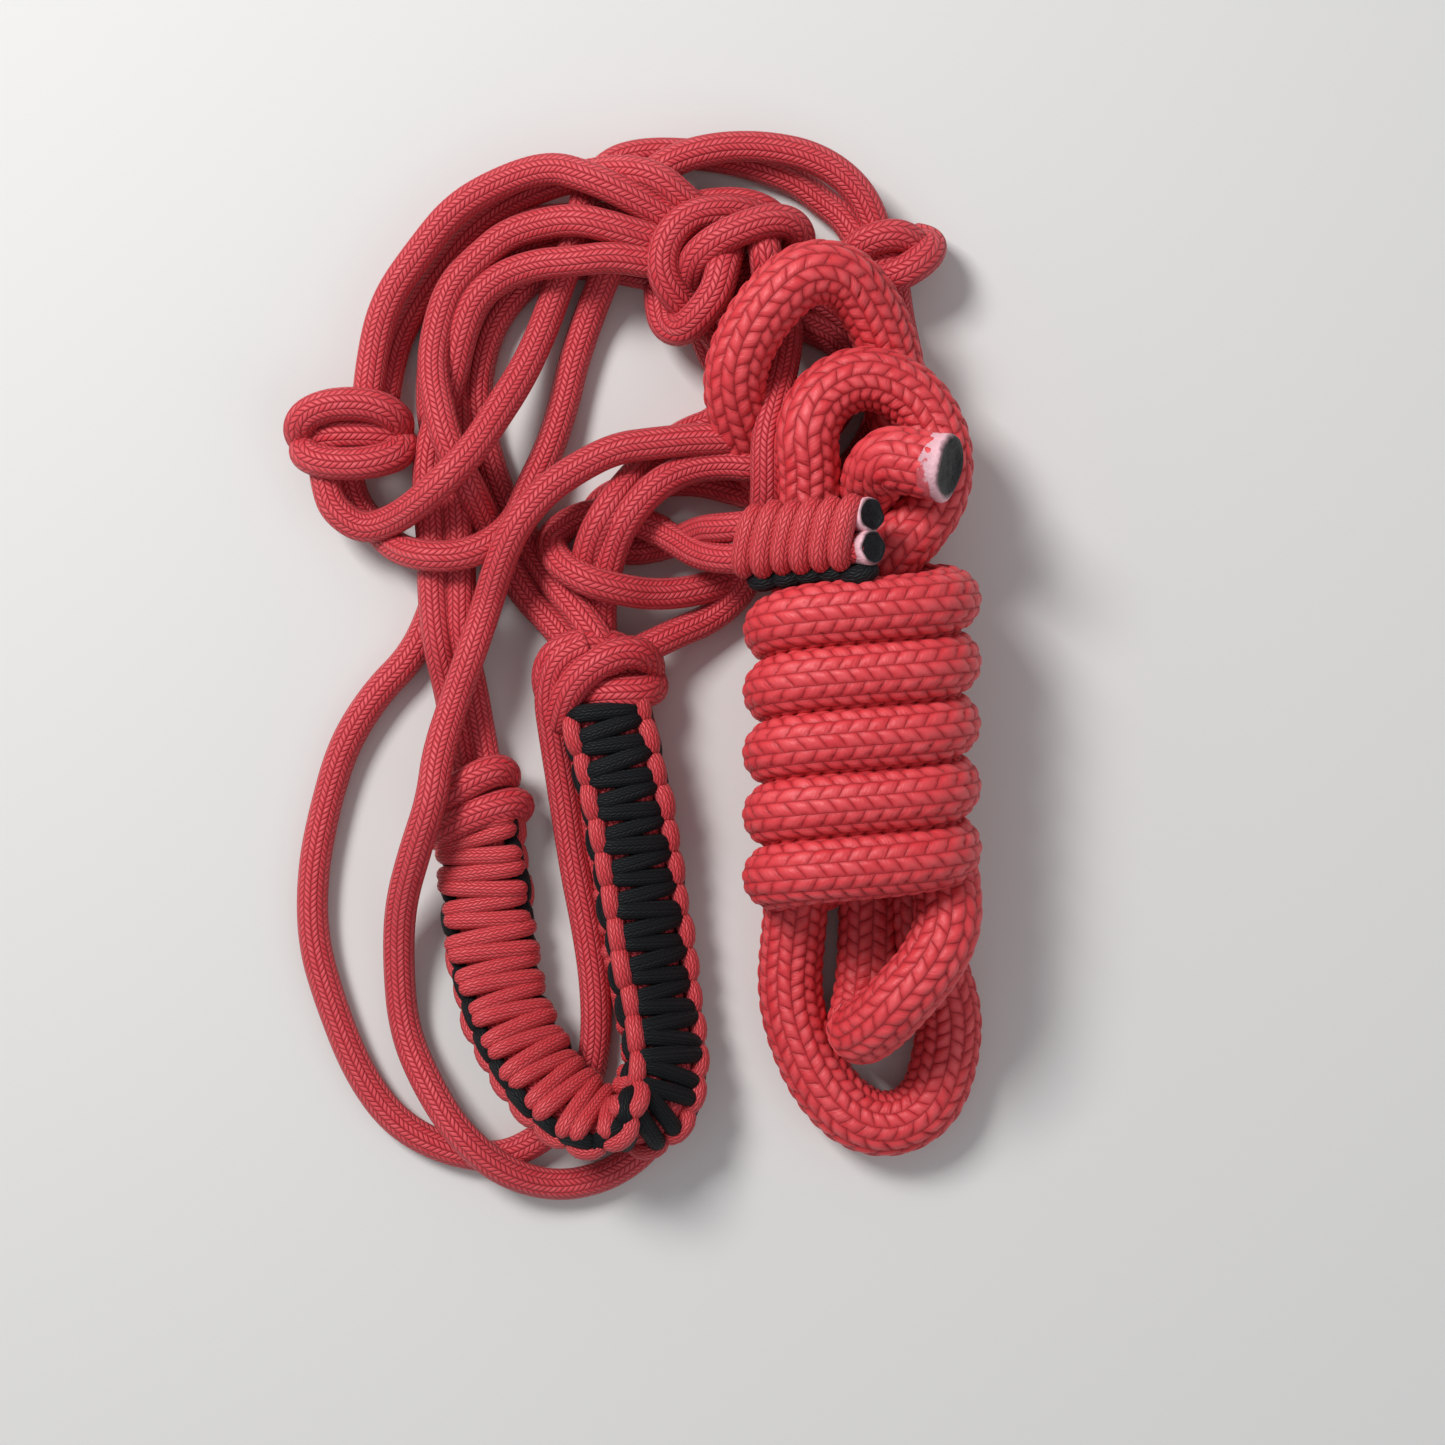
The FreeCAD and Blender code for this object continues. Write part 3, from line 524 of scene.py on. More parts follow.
def melted_material(name, colour, core):
    """A melted end: a dark fused face with a rim of set drops, wide and pale on one side."""
    graph = Graph(name)
    uv = graph.add("ShaderNodeUVMap", {"uv_map": ROPE_MAP})
    pale_side = graph.add("ShaderNodeSeparateXYZ", None, {0: uv}, output=0)
    outwards = graph.add("ShaderNodeSeparateXYZ", None, {0: uv}, output=1)
    place = graph.add("ShaderNodeTexCoord", None, None, output=3)
    drops = graph.noise(place, 700.0, 3.0)
    pits = graph.noise(place, 2200.0, 2.0)
    patches = graph.noise(place, 120.0, 1.0)
    edge = outwards + drops * 0.16 + patches * 0.22 + (pale_side - 0.5) * outwards * 0.42 - 0.28
    stops = [
        (0.00, shade(core, 1.0)), (0.66, shade(core, 1.5)), (0.76, shade(colour, 0.5)),
        (0.84, shade(colour, 1.35)), (0.98, shade(colour, 1.0)), (1.0, shade(SINGED_COLOUR, 1.0)),
    ]
    ramp = graph.add("ShaderNodeValToRGB", {"stops": stops}, {0: edge})
    bump = graph.add(
        "ShaderNodeBump", None,
        {"Strength": 0.6, "Distance": 0.0006, "Height": drops + pits * 0.4},
    )
    return graph.finish(ramp, drops * 0.30 + 0.38, bump, shine=0.28)


def floor_material():
    """A plain pale floor with the least unevenness."""
    graph = Graph("pale_floor")
    place = graph.add("ShaderNodeTexCoord", None, None, output=3)
    cloud = graph.noise(place, 3.0, 2.0)
    tone = graph.mix(cloud * 0.3, shade(colours().floor, 1.0), shade(colours().floor, 0.95))
    return graph.finish(tone, cloud * 0.1 + 0.75)


def finish_for(slot):
    """The material of a slot, made on its first use."""
    made = bpy.data.materials.get("halter_" + slot)
    if made is not None:
        return made
    size, colour = sizes(), colours()
    name = "halter_" + slot
    if slot == "lead_rope":
        columns, stitch = size.thick_columns, size.thick_stitch
        return braid_material(name, colour.lead, columns, stitch, THICK_SLANT, 0.35, 0.20)
    if slot == "halter_rope":
        columns, stitch = size.thin_columns, size.thin_stitch
        return braid_material(name, colour.halter, columns, stitch, 1.0, 0.55, 0.12)
    if slot == "red_cord":
        return braid_material(name, colour.red_cord, CORD_COLUMNS, size.cord_stitch, 1.0, 0.40, 0.05)
    if slot == "black_cord":
        stitch = size.cord_stitch
        return braid_material(name, colour.black_cord, CORD_COLUMNS, stitch, 1.0, 0.40, 0.05, 0.2)
    if slot == "melted_end":
        return melted_material(name, colour.melted, FUSED_COLOUR)
    raise ValueError("no finish for " + slot)


# Lines and tubes ------------------------------------------------------------

def lifted(route, diameter):
    """Route points with a lift, turned into places in space."""
    return [(x * MM, y * MM, diameter * (0.5 + lift)) for x, y, lift in route]


def in_metres(points):
    """Points in millimetres turned into metres."""
    return [tuple(part * MM for part in point) for point in points]


def smooth_line(points, spacing):
    """Evenly spaced places on the NURBS spline that has the points as its control points."""
    curve = bpy.data.curves.new("route", "CURVE")
    curve.dimensions = "3D"
    curve.resolution_u = 16
    spline = curve.splines.new("NURBS")
    spline.points.add(len(points) - 1)
    for knot, point in zip(spline.points, points):
        knot.co = (point[0], point[1], point[2], 1.0)
    spline.order_u = 3
    spline.use_endpoint_u = True
    holder = bpy.data.objects.new("route", curve)
    mesh = bpy.data.meshes.new_from_object(holder)
    line = np.empty(len(mesh.vertices) * 3)
    mesh.vertices.foreach_get("co", line)
    bpy.data.objects.remove(holder)
    bpy.data.curves.remove(curve)
    bpy.data.meshes.remove(mesh)
    return even(line.reshape(-1, 3), spacing)


def even(line, spacing):
    """The same line with its places a given distance apart."""
    distance = distances(line)
    count = max(4, int(round(distance[-1] / spacing)) + 1)
    wanted = np.linspace(0.0, distance[-1], count)
    return np.stack([np.interp(wanted, distance, line[:, axis]) for axis in range(3)], axis=1)


def distances(line):
    """Distance of each place along a line from its start."""
    steps = np.linalg.norm(np.diff(line, axis=0), axis=1)
    return np.concatenate(([0.0], np.cumsum(steps)))


def unit(vectors):
    """Vectors of length one."""
    vectors = np.asarray(vectors, dtype=float)
    return vectors / np.linalg.norm(vectors, axis=-1, keepdims=True)


def frames(line, reference):
    """Directions along a line, towards the reference and to the side, at each place."""
    along = unit(np.gradient(line, axis=0))
    reference = np.asarray(reference, dtype=float)
    first = reference - along * np.sum(along * reference, axis=1, keepdims=True)
    first = unit(first)
    return along, first, np.cross(along, first)


def new_piece(name, vertices, faces, uvs, slot):
    """An object with its mesh, its rope map and the material of its slot."""
    mesh = bpy.data.meshes.new(name)
    mesh.from_pydata(vertices.tolist(), [], faces)
    layer = mesh.uv_layers.new(name=ROPE_MAP)
    layer.data.foreach_set("uv", np.asarray(uvs, dtype=np.float32).ravel())
    mesh.polygons.foreach_set("use_smooth", [True] * len(mesh.polygons))
    mesh.materials.append(finish_for(slot))
    mesh.update()
    piece = bpy.data.objects.new(name, mesh)
    bpy.context.scene.collection.objects.link(piece)
    return piece


def standing_piece(name, parts, slot, nodes, body=None):
    """A piece that stands for its nodes, and rides on the body if one is given."""
    piece = new_piece(name, *parts, slot)
    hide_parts(*nodes)
    if body is not None:
        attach(piece, body)
    return piece


def tube_parts(line, around, radii, stretch):
    """Vertices, faces and map of a closed tube with a radius for each ring and side."""
    along, first, second = around
    rings, sides = radii.shape
    angles = 2.0 * math.pi * np.arange(sides) / sides
    round_first = np.cos(angles) * stretch[0]
    round_second = np.sin(angles) * stretch[1]
    offsets = first[:, None, :] * round_first[None, :, None]
    offsets = offsets + second[:, None, :] * round_second[None, :, None]
    body = line[:, None, :] + offsets * radii[:, :, None]
    vertices = np.concatenate([body.reshape(-1, 3), line[:1], line[-1:]])
    ring = np.arange(rings - 1)[:, None] * sides
    side = np.arange(sides)[None, :]
    beside = (side + 1) % sides
    quads = np.stack([ring + side, ring + beside, ring + sides + beside, ring + sides + side], axis=-1)
    distance = distances(line)
    turn = np.arange(sides + 1) / sides
    low, behind = np.meshgrid(turn[:-1], distance[:-1])
    high, ahead = np.meshgrid(turn[1:], distance[1:])
    uvs = np.stack([low, behind, high, behind, high, ahead, low, ahead], axis=-1).reshape(-1, 2)
    faces = quads.reshape(-1, 4).tolist()
    ends, end_uvs = end_caps(rings, sides, distance)
    return vertices, faces + ends, np.concatenate([uvs, end_uvs])


def end_caps(rings, sides, distance):
    """Triangles that close both ends of a tube, with their map."""
    faces, uvs = [], []
    first_middle = rings * sides
    last = (rings - 1) * sides
    begin, end = distance[0], distance[-1]
    for side in range(sides):
        beside = (side + 1) % sides
        low, high = side / sides, (side + 1) / sides
        faces.append([first_middle, beside, side])
        uvs += [(low, begin), (high, begin), (low, begin)]
        faces.append([first_middle + 1, last + side, last + beside])
        uvs += [(low, end), (low, end), (high, end)]
    return faces, np.array(uvs)


def join_parts(parts):
    """Several lots of vertices, faces and map made into one."""
    vertices, faces, uvs = [], [], []
    shift = 0
    for some_vertices, some_faces, some_uvs in parts:
        vertices.append(some_vertices)
        faces += [[index + shift for index in face] for face in some_faces]
        uvs.append(some_uvs)
        shift += len(some_vertices)
    return np.concatenate(vertices), faces, np.concatenate(uvs)


def plait_height(line_length, rings, sides, columns, stitch, slant):
    """Height from 0 to 1 of the stitches of a plaited rope, for each ring and side."""
    around = (np.arange(sides)[None, :] + 0.5) / sides * columns
    column = np.floor(around)
    across = around - column - 0.5
    odd = column % 2
    along = np.linspace(0.0, line_length, rings)[:, None]
    step = along / stitch + (1.0 - 2.0 * odd) * across * slant + odd * 0.5
    within = step - np.floor(step) - 0.5
    return np.sqrt((1.0 - np.abs(2.0 * across) ** 3) * (1.0 - np.abs(2.0 * within) ** 3))


def unevenness(length, rings, seed):
    """A slow random swelling along a rope, as a share of its radius."""
    maker = np.random.default_rng(seed)
    knots = max(4, int(length / SWELLING_STEP))
    values = maker.normal(0.0, 1.0, knots)
    return np.interp(np.linspace(0, knots - 1, rings), np.arange(knots), values)


def thick_parts(points, reference, share, seed):
    """A stretch of the thick rope, its stitches standing up from it."""
    size = sizes()
    line = smooth_line(points, THICK_SPACING)
    columns = size.thick_columns
    sides = columns * THICK_SIDES
    length = distances(line)[-1]
    height = plait_height(length, len(line), sides, columns, size.thick_stitch, THICK_SLANT)
    swelling = 1.0 + THICK_SWELLING * unevenness(length, len(line), seed)[:, None]
    radii = size.thick / 2.0 * share * swelling * (THICK_GROOVE + THICK_CREST * height)
    return line, tube_parts(line, frames(line, reference), radii, (1.0, 1.0))


def thin_parts(points, stretch, seed, spacing=THIN_SPACING):
    """A stretch of the thin rope, with slight ridges along it."""
    line = smooth_line(points, spacing)
    length = distances(line)[-1]
    angles = 2.0 * math.pi * np.arange(THIN_SIDES)[None, :] / THIN_SIDES
    twist = distances(line)[:, None] * THIN_TWIST
    ridges = THIN_RIDGE * np.cos(angles * THIN_RIDGES + twist)
    swelling = 1.0 + THIN_SWELLING * unevenness(length, len(line), seed)[:, None]
    radii = sizes().thin / 2.0 * swelling * (THIN_MEAN + ridges)
    return line, tube_parts(line, frames(line, UP), radii, stretch)


def coil_route(centre, width, height, pitch, turns, rope):
    """Points of turns wound side by side, standing on the floor, their axis level."""
    half_width = (width - rope) / 2.0
    half_height = (height - rope) / 2.0
    steps = 16
    points = []
    for index in range(int(turns * steps) + 1):
        turn = index / steps
        angle = math.radians(-90.0) - 2.0 * math.pi * turn
        x = half_width * squared(math.cos(angle))
        z = half_height * squared(math.sin(angle))
        y = pitch * (turn - turns / 2.0)
        points.append((centre[0] + x, centre[1] + y, height / 2.0 + z))
    return points


def squared(value):
    """A cosine or sine pushed outwards, which makes a circle a rounded square."""
    return math.copysign(abs(value) ** 0.72, value)


# Thin rope ------------------------------------------------------------------

def tail_directions():
    """Directions along, across and out of the tail's end."""
    level = np.array((math.cos(TAIL_AZIMUTH), math.sin(TAIL_AZIMUTH), 0.0))
    along = level * math.cos(TAIL_RISE) + UP * math.sin(TAIL_RISE)
    across = np.array((-math.sin(TAIL_AZIMUTH), math.cos(TAIL_AZIMUTH), 0.0))
    return along, across, np.cross(along, across)


def tail_end_strand(name, core, seal, side, points):
    """The end of a tail strand: through its bend and on to its melted end."""
    along, across, _ = tail_directions()
    pivot = TAIL_PIVOT + across * CORE_OFFSET * side
    ends = [tuple(pivot + along * reach) for reach in (0.0, 0.009, 0.020, TAIL_LENGTH - SEAL_T)]
    line, parts = thin_parts(points + ends, (1.0, 1.0), 40 + side)
    piece = standing_piece(name + "_end_rope", parts, "halter_rope", [core])
    reach = along * TAIL_BLEND
    tuple(pivot - reach)
    tuple(pivot + reach)
    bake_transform(piece)


def middle_of(first, second):
    """The point half way between two points."""
    return tuple((np.array(first) + np.array(second)) / 2.0)


class HALTER_OT_strands(bpy.types.Operator):
    """Lay the strands of thin rope between the knots"""

    bl_idname = "halter.strands"
    bl_label = "Halter strands"

    def execute(self, context):
        for seed, (name, route) in enumerate(HALTER_ROUTES.items()):
            points = lifted(route, sizes().thin)
            if name in TAIL_ENDS:
                split = middle_of(points[TAIL_SEAM], points[TAIL_SEAM + 1])
                tail_end_strand(name, *TAIL_ENDS[name], [split] + points[TAIL_SEAM::-1])
                points = [split] + points[TAIL_SEAM + 1:]
            line, parts = thin_parts(points, THIN_STRETCH, seed)
            piece = standing_piece(name + "_rope", parts, "halter_rope", [name], BODY)
        return {"FINISHED"}


class HALTER_OT_knots(bpy.types.Operator):
    """Tie the five knots, each of turns of the thin rope"""

    bl_idname = "halter.knots"
    bl_label = "Knots"

    def execute(self, context):
        seed = 60
        for name, turns in KNOT_TURNS.items():
            parts = []
            for points in turns:
                seed += 1
                _, turn = thin_parts(in_metres(points), KNOT_STRETCH, seed, KNOT_SPACING)
                parts.append(turn)
            standing_piece(name + "_rope", join_parts(parts), "halter_rope", [name], BODY)
        return {"FINISHED"}


# Lead rope ------------------------------------------------------------------

# Points out of sight, before and after each route's own points, as (x, y, lift).
HIDDEN_STARTS = {
    "lead_turn_bight": [(54, -24, 0.9), (60, -32, 1), (65.5, -38, 1.1)],
    "lead_locking_loop": [(49, 4, 1)],
    "lead_eye_loop": [(54, 22, 0), (61, 29, 0), (65, 37, 0.05), (64, 46, 0.2)],
}
HIDDEN_ENDS = {
    "lead_lower_bight": [(61, -34, 0.4), (58, -22, 0.6)],
    "lead_eye_loop": [(40, 4, 0.4), (42, -10, 0.6)],
    "lead_locking_loop": [(44, 4, 0.8)],
}
FREE_END_START = [(50, -40, 0.9), (51, -22, 1), (50, -4, 0.8)]
# Points inside the hank before its first wrap and after its last one, as (x, y, z) in
# millimetres from the middle of that wrap's side of the hank.
HANK_START = [(4, 20, 22), (3, 8, 13)]
HANK_END = [(10, -6, 10), (2, -12, 15)]
TIGHT = {"lead_eye_loop": 0.99, "lead_locking_loop": 0.99}  # shares of the rope's thickness
SLACK = 1.03


class HALTER_OT_lead(bpy.types.Operator):
    """Lay the loops and bights of the lead rope"""

    bl_idname = "halter.lead"
    bl_label = "Lead rope loops"

    def execute(self, context):
        thick = sizes().thick
        for seed, (name, route) in enumerate(LEAD_ROUTES.items()):
            if name == "lead_free_end":
                continue
            route = HIDDEN_STARTS.get(name, []) + route + HIDDEN_ENDS.get(name, [])
            points = lifted(route, thick)
            line, parts = thick_parts(points, UP, TIGHT.get(name, SLACK), 20 + seed)
            piece = standing_piece(name + "_rope", parts, "lead_rope", [name], BODY)
        return {"FINISHED"}


class HALTER_OT_hank(bpy.types.Operator):
    """Wind the wraps of the hank"""

    bl_idname = "halter.hank"
    bl_label = "Hank"

    def execute(self, context):
        size = sizes()
        rope = size.thick
        width = size.hank_width
        turns = size.hank_turns
        wound = coil_route(HANK_CENTRE, width, HANK_HEIGHT, size.hank_pitch, turns, rope)
        x, y = HANK_CENTRE
        half = size.hank_pitch * turns / 2.0
        start = [(x + dx, y - half + dy, z) for dx, dy, z in in_metres(HANK_START)]
        end = [(x + dx, y + half + dy, z) for dx, dy, z in in_metres(HANK_END)]
        points = start + wound[1:-2] + end
        line, parts = thick_parts(points, (0.0, 1.0, 0.0), 1.0, 31)
        piece = standing_piece("lead_hank_rope", parts, "lead_rope", ["lead_hank_wraps"], BODY)
        return {"FINISHED"}


class HALTER_OT_free_end(bpy.types.Operator):
    """Lead the rope's free end up through the locking loop"""

    bl_idname = "halter.free_end"
    bl_label = "Lead rope's free end"

    def execute(self, context):
        thick = sizes().thick
        way = unit(TIP_TARGET - TIP_PIVOT)
        route = FREE_END_START + LEAD_ROUTES["lead_free_end"]
        tip = [tuple(TIP_PIVOT), tuple(TIP_PIVOT + way * 0.007), tuple(TIP_TARGET - way * SEAL_T)]
        line, parts = thick_parts(lifted(route, thick) + tip, UP, 1.0, 33)
        nodes = ["lead_free_end", "lead_free_tip"]
        piece = standing_piece("lead_free_end_rope", parts, "lead_rope", nodes)
        turn = unit(TIP_BEND) * TIP_BLEND
        tuple(TIP_PIVOT - turn)
        tuple(TIP_PIVOT + turn)
        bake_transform(piece)
        return {"FINISHED"}


# Melted ends ----------------------------------------------------------------

# Outline from the middle of the face outwards: share of the radius, and height in
# thicknesses. Then how far out each ring counts for the colours.
RIM_PROFILE = [
    (0.0, 0.55), (0.35, 0.60), (0.62, 0.62), (0.76, 0.85), (0.88, 1.0), (0.98, 0.82),
    (1.04, 0.40), (1.03, -0.2), (0.97, -SKIRT),
]
RIM_REACHES = [0.0, 0.25, 0.50, 0.66, 0.78, 0.86, 0.93, 1.0, 1.0]
RIM_SIDES = 40
RIM_WAVES = 4                # waves of two to five turns, which make the rim uneven
THIN_RIM = 1.08              # the melted ends of the thin rope are wider than it
LEAD_PALE_WAY = np.array((-1.0, -0.25, 0.0))  # side on which the lead rope's rim is pale


def melted_end(name, node, body, start, along, radius, seed, pale_way):
    """A cut end melted into a rim round a fused face, palest towards one way."""
    maker = np.random.default_rng(seed)
    sides = RIM_SIDES
    along = unit(along)
    pale_way = unit(pale_way)
    side = unit(np.cross(along, UP))
    other = np.cross(along, side)
    angles = 2.0 * math.pi * np.arange(sides) / sides
    lumps = maker.normal(0.0, 1.0, (RIM_WAVES, 2))
    wave = sum(
        lumps[k, 0] * np.cos((k + 2) * angles) + lumps[k, 1] * np.sin((k + 2) * angles)
        for k in range(RIM_WAVES)
    )
    outs = [side * math.cos(angle) + other * math.sin(angle) for angle in angles]
    vertices = [start + along * RIM_PROFILE[0][1] * SEAL_T]
    for reach, height in RIM_PROFILE[1:]:
        rim = 1.0 + 0.010 * wave * reach
        rise = height * SEAL_T * (1.0 + 0.06 * np.roll(wave, 7) * reach)
        for out, swell, up in zip(outs, rim, rise):
            vertices.append(start + out * radius * reach * swell + along * up)
    vertices.append(start - along * SEAL_T * SKIRT)
    faces, uvs = [], []
    pale = [0.5 + 0.5 * float(np.dot(out, pale_way)) for out in outs]
    rings = len(RIM_PROFILE) - 1
    for k in range(sides):
        beside = (k + 1) % sides
        faces.append([0, 1 + beside, 1 + k])
        uvs += [(0.5, 0.0), (pale[beside], RIM_REACHES[1]), (pale[k], RIM_REACHES[1])]
        for ring in range(rings - 1):
            low = 1 + ring * sides
            high = low + sides
            faces.append([low + k, low + beside, high + beside, high + k])
            near, far = RIM_REACHES[ring + 1], RIM_REACHES[ring + 2]
            uvs += [(pale[k], near), (pale[beside], near), (pale[beside], far), (pale[k], far)]
        last = 1 + (rings - 1) * sides
        faces.append([last + k, last + beside, len(vertices) - 1])
        uvs += [(pale[k], 1.0), (pale[beside], 1.0), (0.5, 1.0)]
    standing_piece(name, (np.array(vertices), faces, uvs), "melted_end", [node], body)


class HALTER_OT_melted_ends(bpy.types.Operator):
    """Melt the cut ends of the tail and of the lead rope"""

    bl_idname = "halter.melted_ends"
    bl_label = "Melted ends"

    def execute(self, context):
        along, across, outward = tail_directions()
        facing = along * math.cos(CUT_TILT) + outward * math.sin(CUT_TILT)
        thin = sizes().thin / 2.0 * THIN_RIM
        for name, side in (("tail_seal_upper", 1.0), ("tail_seal_lower", -1.0)):
            start = TAIL_PIVOT + across * CORE_OFFSET * side + along * (TAIL_LENGTH - SEAL_T)
            melted_end(name + "_face", name, "tail_end", start, facing, thin, 80 + int(side), -along)
        way = unit(TIP_TARGET - TIP_PIVOT)
        start = TIP_TARGET - way * SEAL_T
        thick = sizes().thick / 2.0
        name = "lead_end_seal"
        melted_end(name + "_face", name, "lead_end", start, way, thick, 83, LEAD_PALE_WAY)
        return {"FINISHED"}


# Woven bands ----------------------------------------------------------------

def stitch_object(name, points, radius, slot):
    """One short bent piece of woven cord, to be set down many times."""
    line = smooth_line(in_metres(points), STITCH_SPACING)
    rings = len(line)
    # Each end is thinner over the last twelfth of the stitch.
    ends = np.sin(math.pi * np.clip(np.linspace(0.0, 1.0, rings) * 6.0, 0.0, 0.5))
    ends = np.minimum(ends, ends[::-1]) * 0.45 + 0.55
    radii = np.repeat(ends[:, None] * radius, STITCH_SIDES, axis=1)
    return new_piece(name, *tube_parts(line, frames(line, UP), radii, (1.0, 1.0)), slot)


def weave_tree():
    """Nodes that set a stitch down at every place, turned as the place says."""
    tree = bpy.data.node_groups.new("set_down_stitches", "GeometryNodeTree")
    kinds = {
        "Places": "Geometry", "Stitch": "Object", "Size": "Float", "Unevenness": "Float",
        "Seed": "Int", "Cord": "Material",
    }
    for name, kind in kinds.items():
        tree.interface.new_socket(name, in_out="INPUT", socket_type="NodeSocket" + kind)
    tree.interface.new_socket("Weave", in_out="OUTPUT", socket_type="NodeSocketGeometry")
    node = tree.nodes.new
    link = tree.links.new
    given = node("NodeGroupInput")
    result = node("NodeGroupOutput")
    turns = []
    for name, axis in (("along", "Y"), ("outward", "Z")):
        named = node("GeometryNodeInputNamedAttribute")
        named.data_type = "FLOAT_VECTOR"
        named.inputs["Name"].default_value = name
        turn = node("FunctionNodeAlignRotationToVector")
        turn.axis = axis
        turn.pivot_axis = "AUTO" if axis == "Y" else "Y"
        link(named.outputs["Attribute"], turn.inputs["Vector"])
        if turns:
            link(turns[-1].outputs["Rotation"], turn.inputs["Rotation"])
        turns.append(turn)
    stitch = node("GeometryNodeObjectInfo")
    link(given.outputs["Stitch"], stitch.inputs["Object"])
    chance = node("FunctionNodeRandomValue")
    chance.data_type = "FLOAT"
    for operation, limit in (("SUBTRACT", 2), ("ADD", 3)):
        edge = node("ShaderNodeMath")
        edge.operation = operation
        link(given.outputs["Size"], edge.inputs[0])
        link(given.outputs["Unevenness"], edge.inputs[1])
        link(edge.outputs[0], chance.inputs[limit])
    link(given.outputs["Seed"], chance.inputs["Seed"])
    setter = node("GeometryNodeInstanceOnPoints")
    link(given.outputs["Places"], setter.inputs["Points"])
    link(stitch.outputs["Geometry"], setter.inputs["Instance"])
    link(turns[-1].outputs["Rotation"], setter.inputs["Rotation"])
    link(chance.outputs[1], setter.inputs["Scale"])
    real = node("GeometryNodeRealizeInstances")
    link(setter.outputs["Instances"], real.inputs["Geometry"])
    paint = node("GeometryNodeSetMaterial")
    link(real.outputs["Geometry"], paint.inputs["Geometry"])
    link(given.outputs["Cord"], paint.inputs["Material"])
    link(paint.outputs["Geometry"], result.inputs["Weave"])
    return tree


def set_down(tree, stitch, places, slot, seed):
    """Vertices, faces and map of one stitch set down at its places."""
    spots = np.array([place[0] for place in places])
    mesh = bpy.data.meshes.new("places")
    mesh.from_pydata(spots.tolist(), [], [])
    for name, column in (("along", 1), ("outward", 2)):
        attribute = mesh.attributes.new(name, "FLOAT_VECTOR", "POINT")
        values = np.array([place[column] for place in places], dtype=np.float32)
        attribute.data.foreach_set("vector", values.ravel())
    holder = bpy.data.objects.new("places", mesh)
    bpy.context.scene.collection.objects.link(holder)
    modifier = holder.modifiers.new("weave", "NODES")
    modifier.node_group = tree
    values = {"Stitch": stitch, "Size": 1.0, "Unevenness": 0.05, "Seed": seed, "Cord": finish_for(slot)}
    for item in tree.interface.items_tree:
        if item.in_out == "INPUT" and item.name in values:
            modifier[item.identifier] = values[item.name]
    graph = bpy.context.evaluated_depsgraph_get()
    result = bpy.data.meshes.new_from_object(holder.evaluated_get(graph), depsgraph=graph)
    vertices = np.empty(len(result.vertices) * 3)
    result.vertices.foreach_get("co", vertices)
    faces = [list(face.vertices) for face in result.polygons]
    uvs = np.empty(len(result.loops) * 2)
    result.uv_layers[ROPE_MAP].data.foreach_get("uv", uvs)
    bpy.data.objects.remove(holder)
    bpy.data.meshes.remove(result)
    return vertices.reshape(-1, 3), faces, uvs.reshape(-1, 2)


# Stitches in their own frame, in millimetres: x across the band, y along it and z out
# of its face.
FRONT_BAR = [
    (-7.4, 0, 0.4), (-6.6, 0, 2.6), (-4.2, 0, 3.7), (0, 0, 4), (4.2, 0, 3.7), (6.6, 0, 2.6),
    (7.4, 0, 0.4),
]
BACK_BAR = [
    (-8.6, 0, 0.2), (-7.8, 0, 2.4), (-4.8, 0, 3.7), (0, 0, 4), (4.8, 0, 3.7), (7.8, 0, 2.4),
    (8.6, 0, 0.2),
]
FRONT_BUMP = [
    (6.6, -3.4, 0.2), (7.4, -3.1, 2), (7.9, -1.4, 3), (7.9, 1.4, 3), (7.4, 3.1, 2), (6.6, 3.4, 0.2),
]
BACK_BUMP = [
    (6.4, -3.4, -1.2), (7.6, -3, -0.4), (8.2, -1.3, 0.2), (8.2, 1.3, 0.2), (7.6, 3, -0.4),
    (6.4, 3.4, -1.2),
]
TAIL_BUMP = [
    (6.4, -2.6, -2.6), (7.8, -2.2, -0.8), (8.4, -0.9, 0.2), (8.4, 0.9, 0.2), (7.8, 2.2, -0.8),
    (6.4, 2.6, -2.6),
]
TAIL_LEAN = 17.0             # lean of the tail's bars, in degrees
TAIL_BUMP_SIDE = 1.0         # the edge of the tail that shows its black bumps
TAIL_BAR_LENGTH = 0.72       # its bars are shorter and thicker than the noseband's
TAIL_BAR_SWELL = 1.30
TAIL_BUMP_SWELL = 1.12
TAIL_BUMP_STEP = 0.56        # its bumps are closer together than its bars
SLEEVE_START = 0.0042        # from the bend to the tail's weave
SLEEVE_LENGTH = 0.0265
SLEEVE_SPACING = 0.001
NOSE_SWELL = 1.08
BAND_CORNERS = [(0.0100, 0.0030), (0.0080, 0.0050)]  # of its section, across and outward
NOSE_SPACING = 0.0008

STITCH_SPACING = 0.0011      # between the rings of a stitch
STITCH_SIDES = 12
CORE_SIDES = 20
CORE_RADIUS = 0.0031
BUMP_REACH = 0.0079          # from the middle of a band to the middle of its bumps
BAR_HEIGHT = 0.0040          # from the middle of a band to the middle of a bar's crest
EDGE_STEP = 0.0006           # between the points of an edge's path
EDGE_EASING = 20             # rounds of smoothing of an edge's path
CROWDED = 0.50               # nearer than this many steps to the last one, a bar is left out


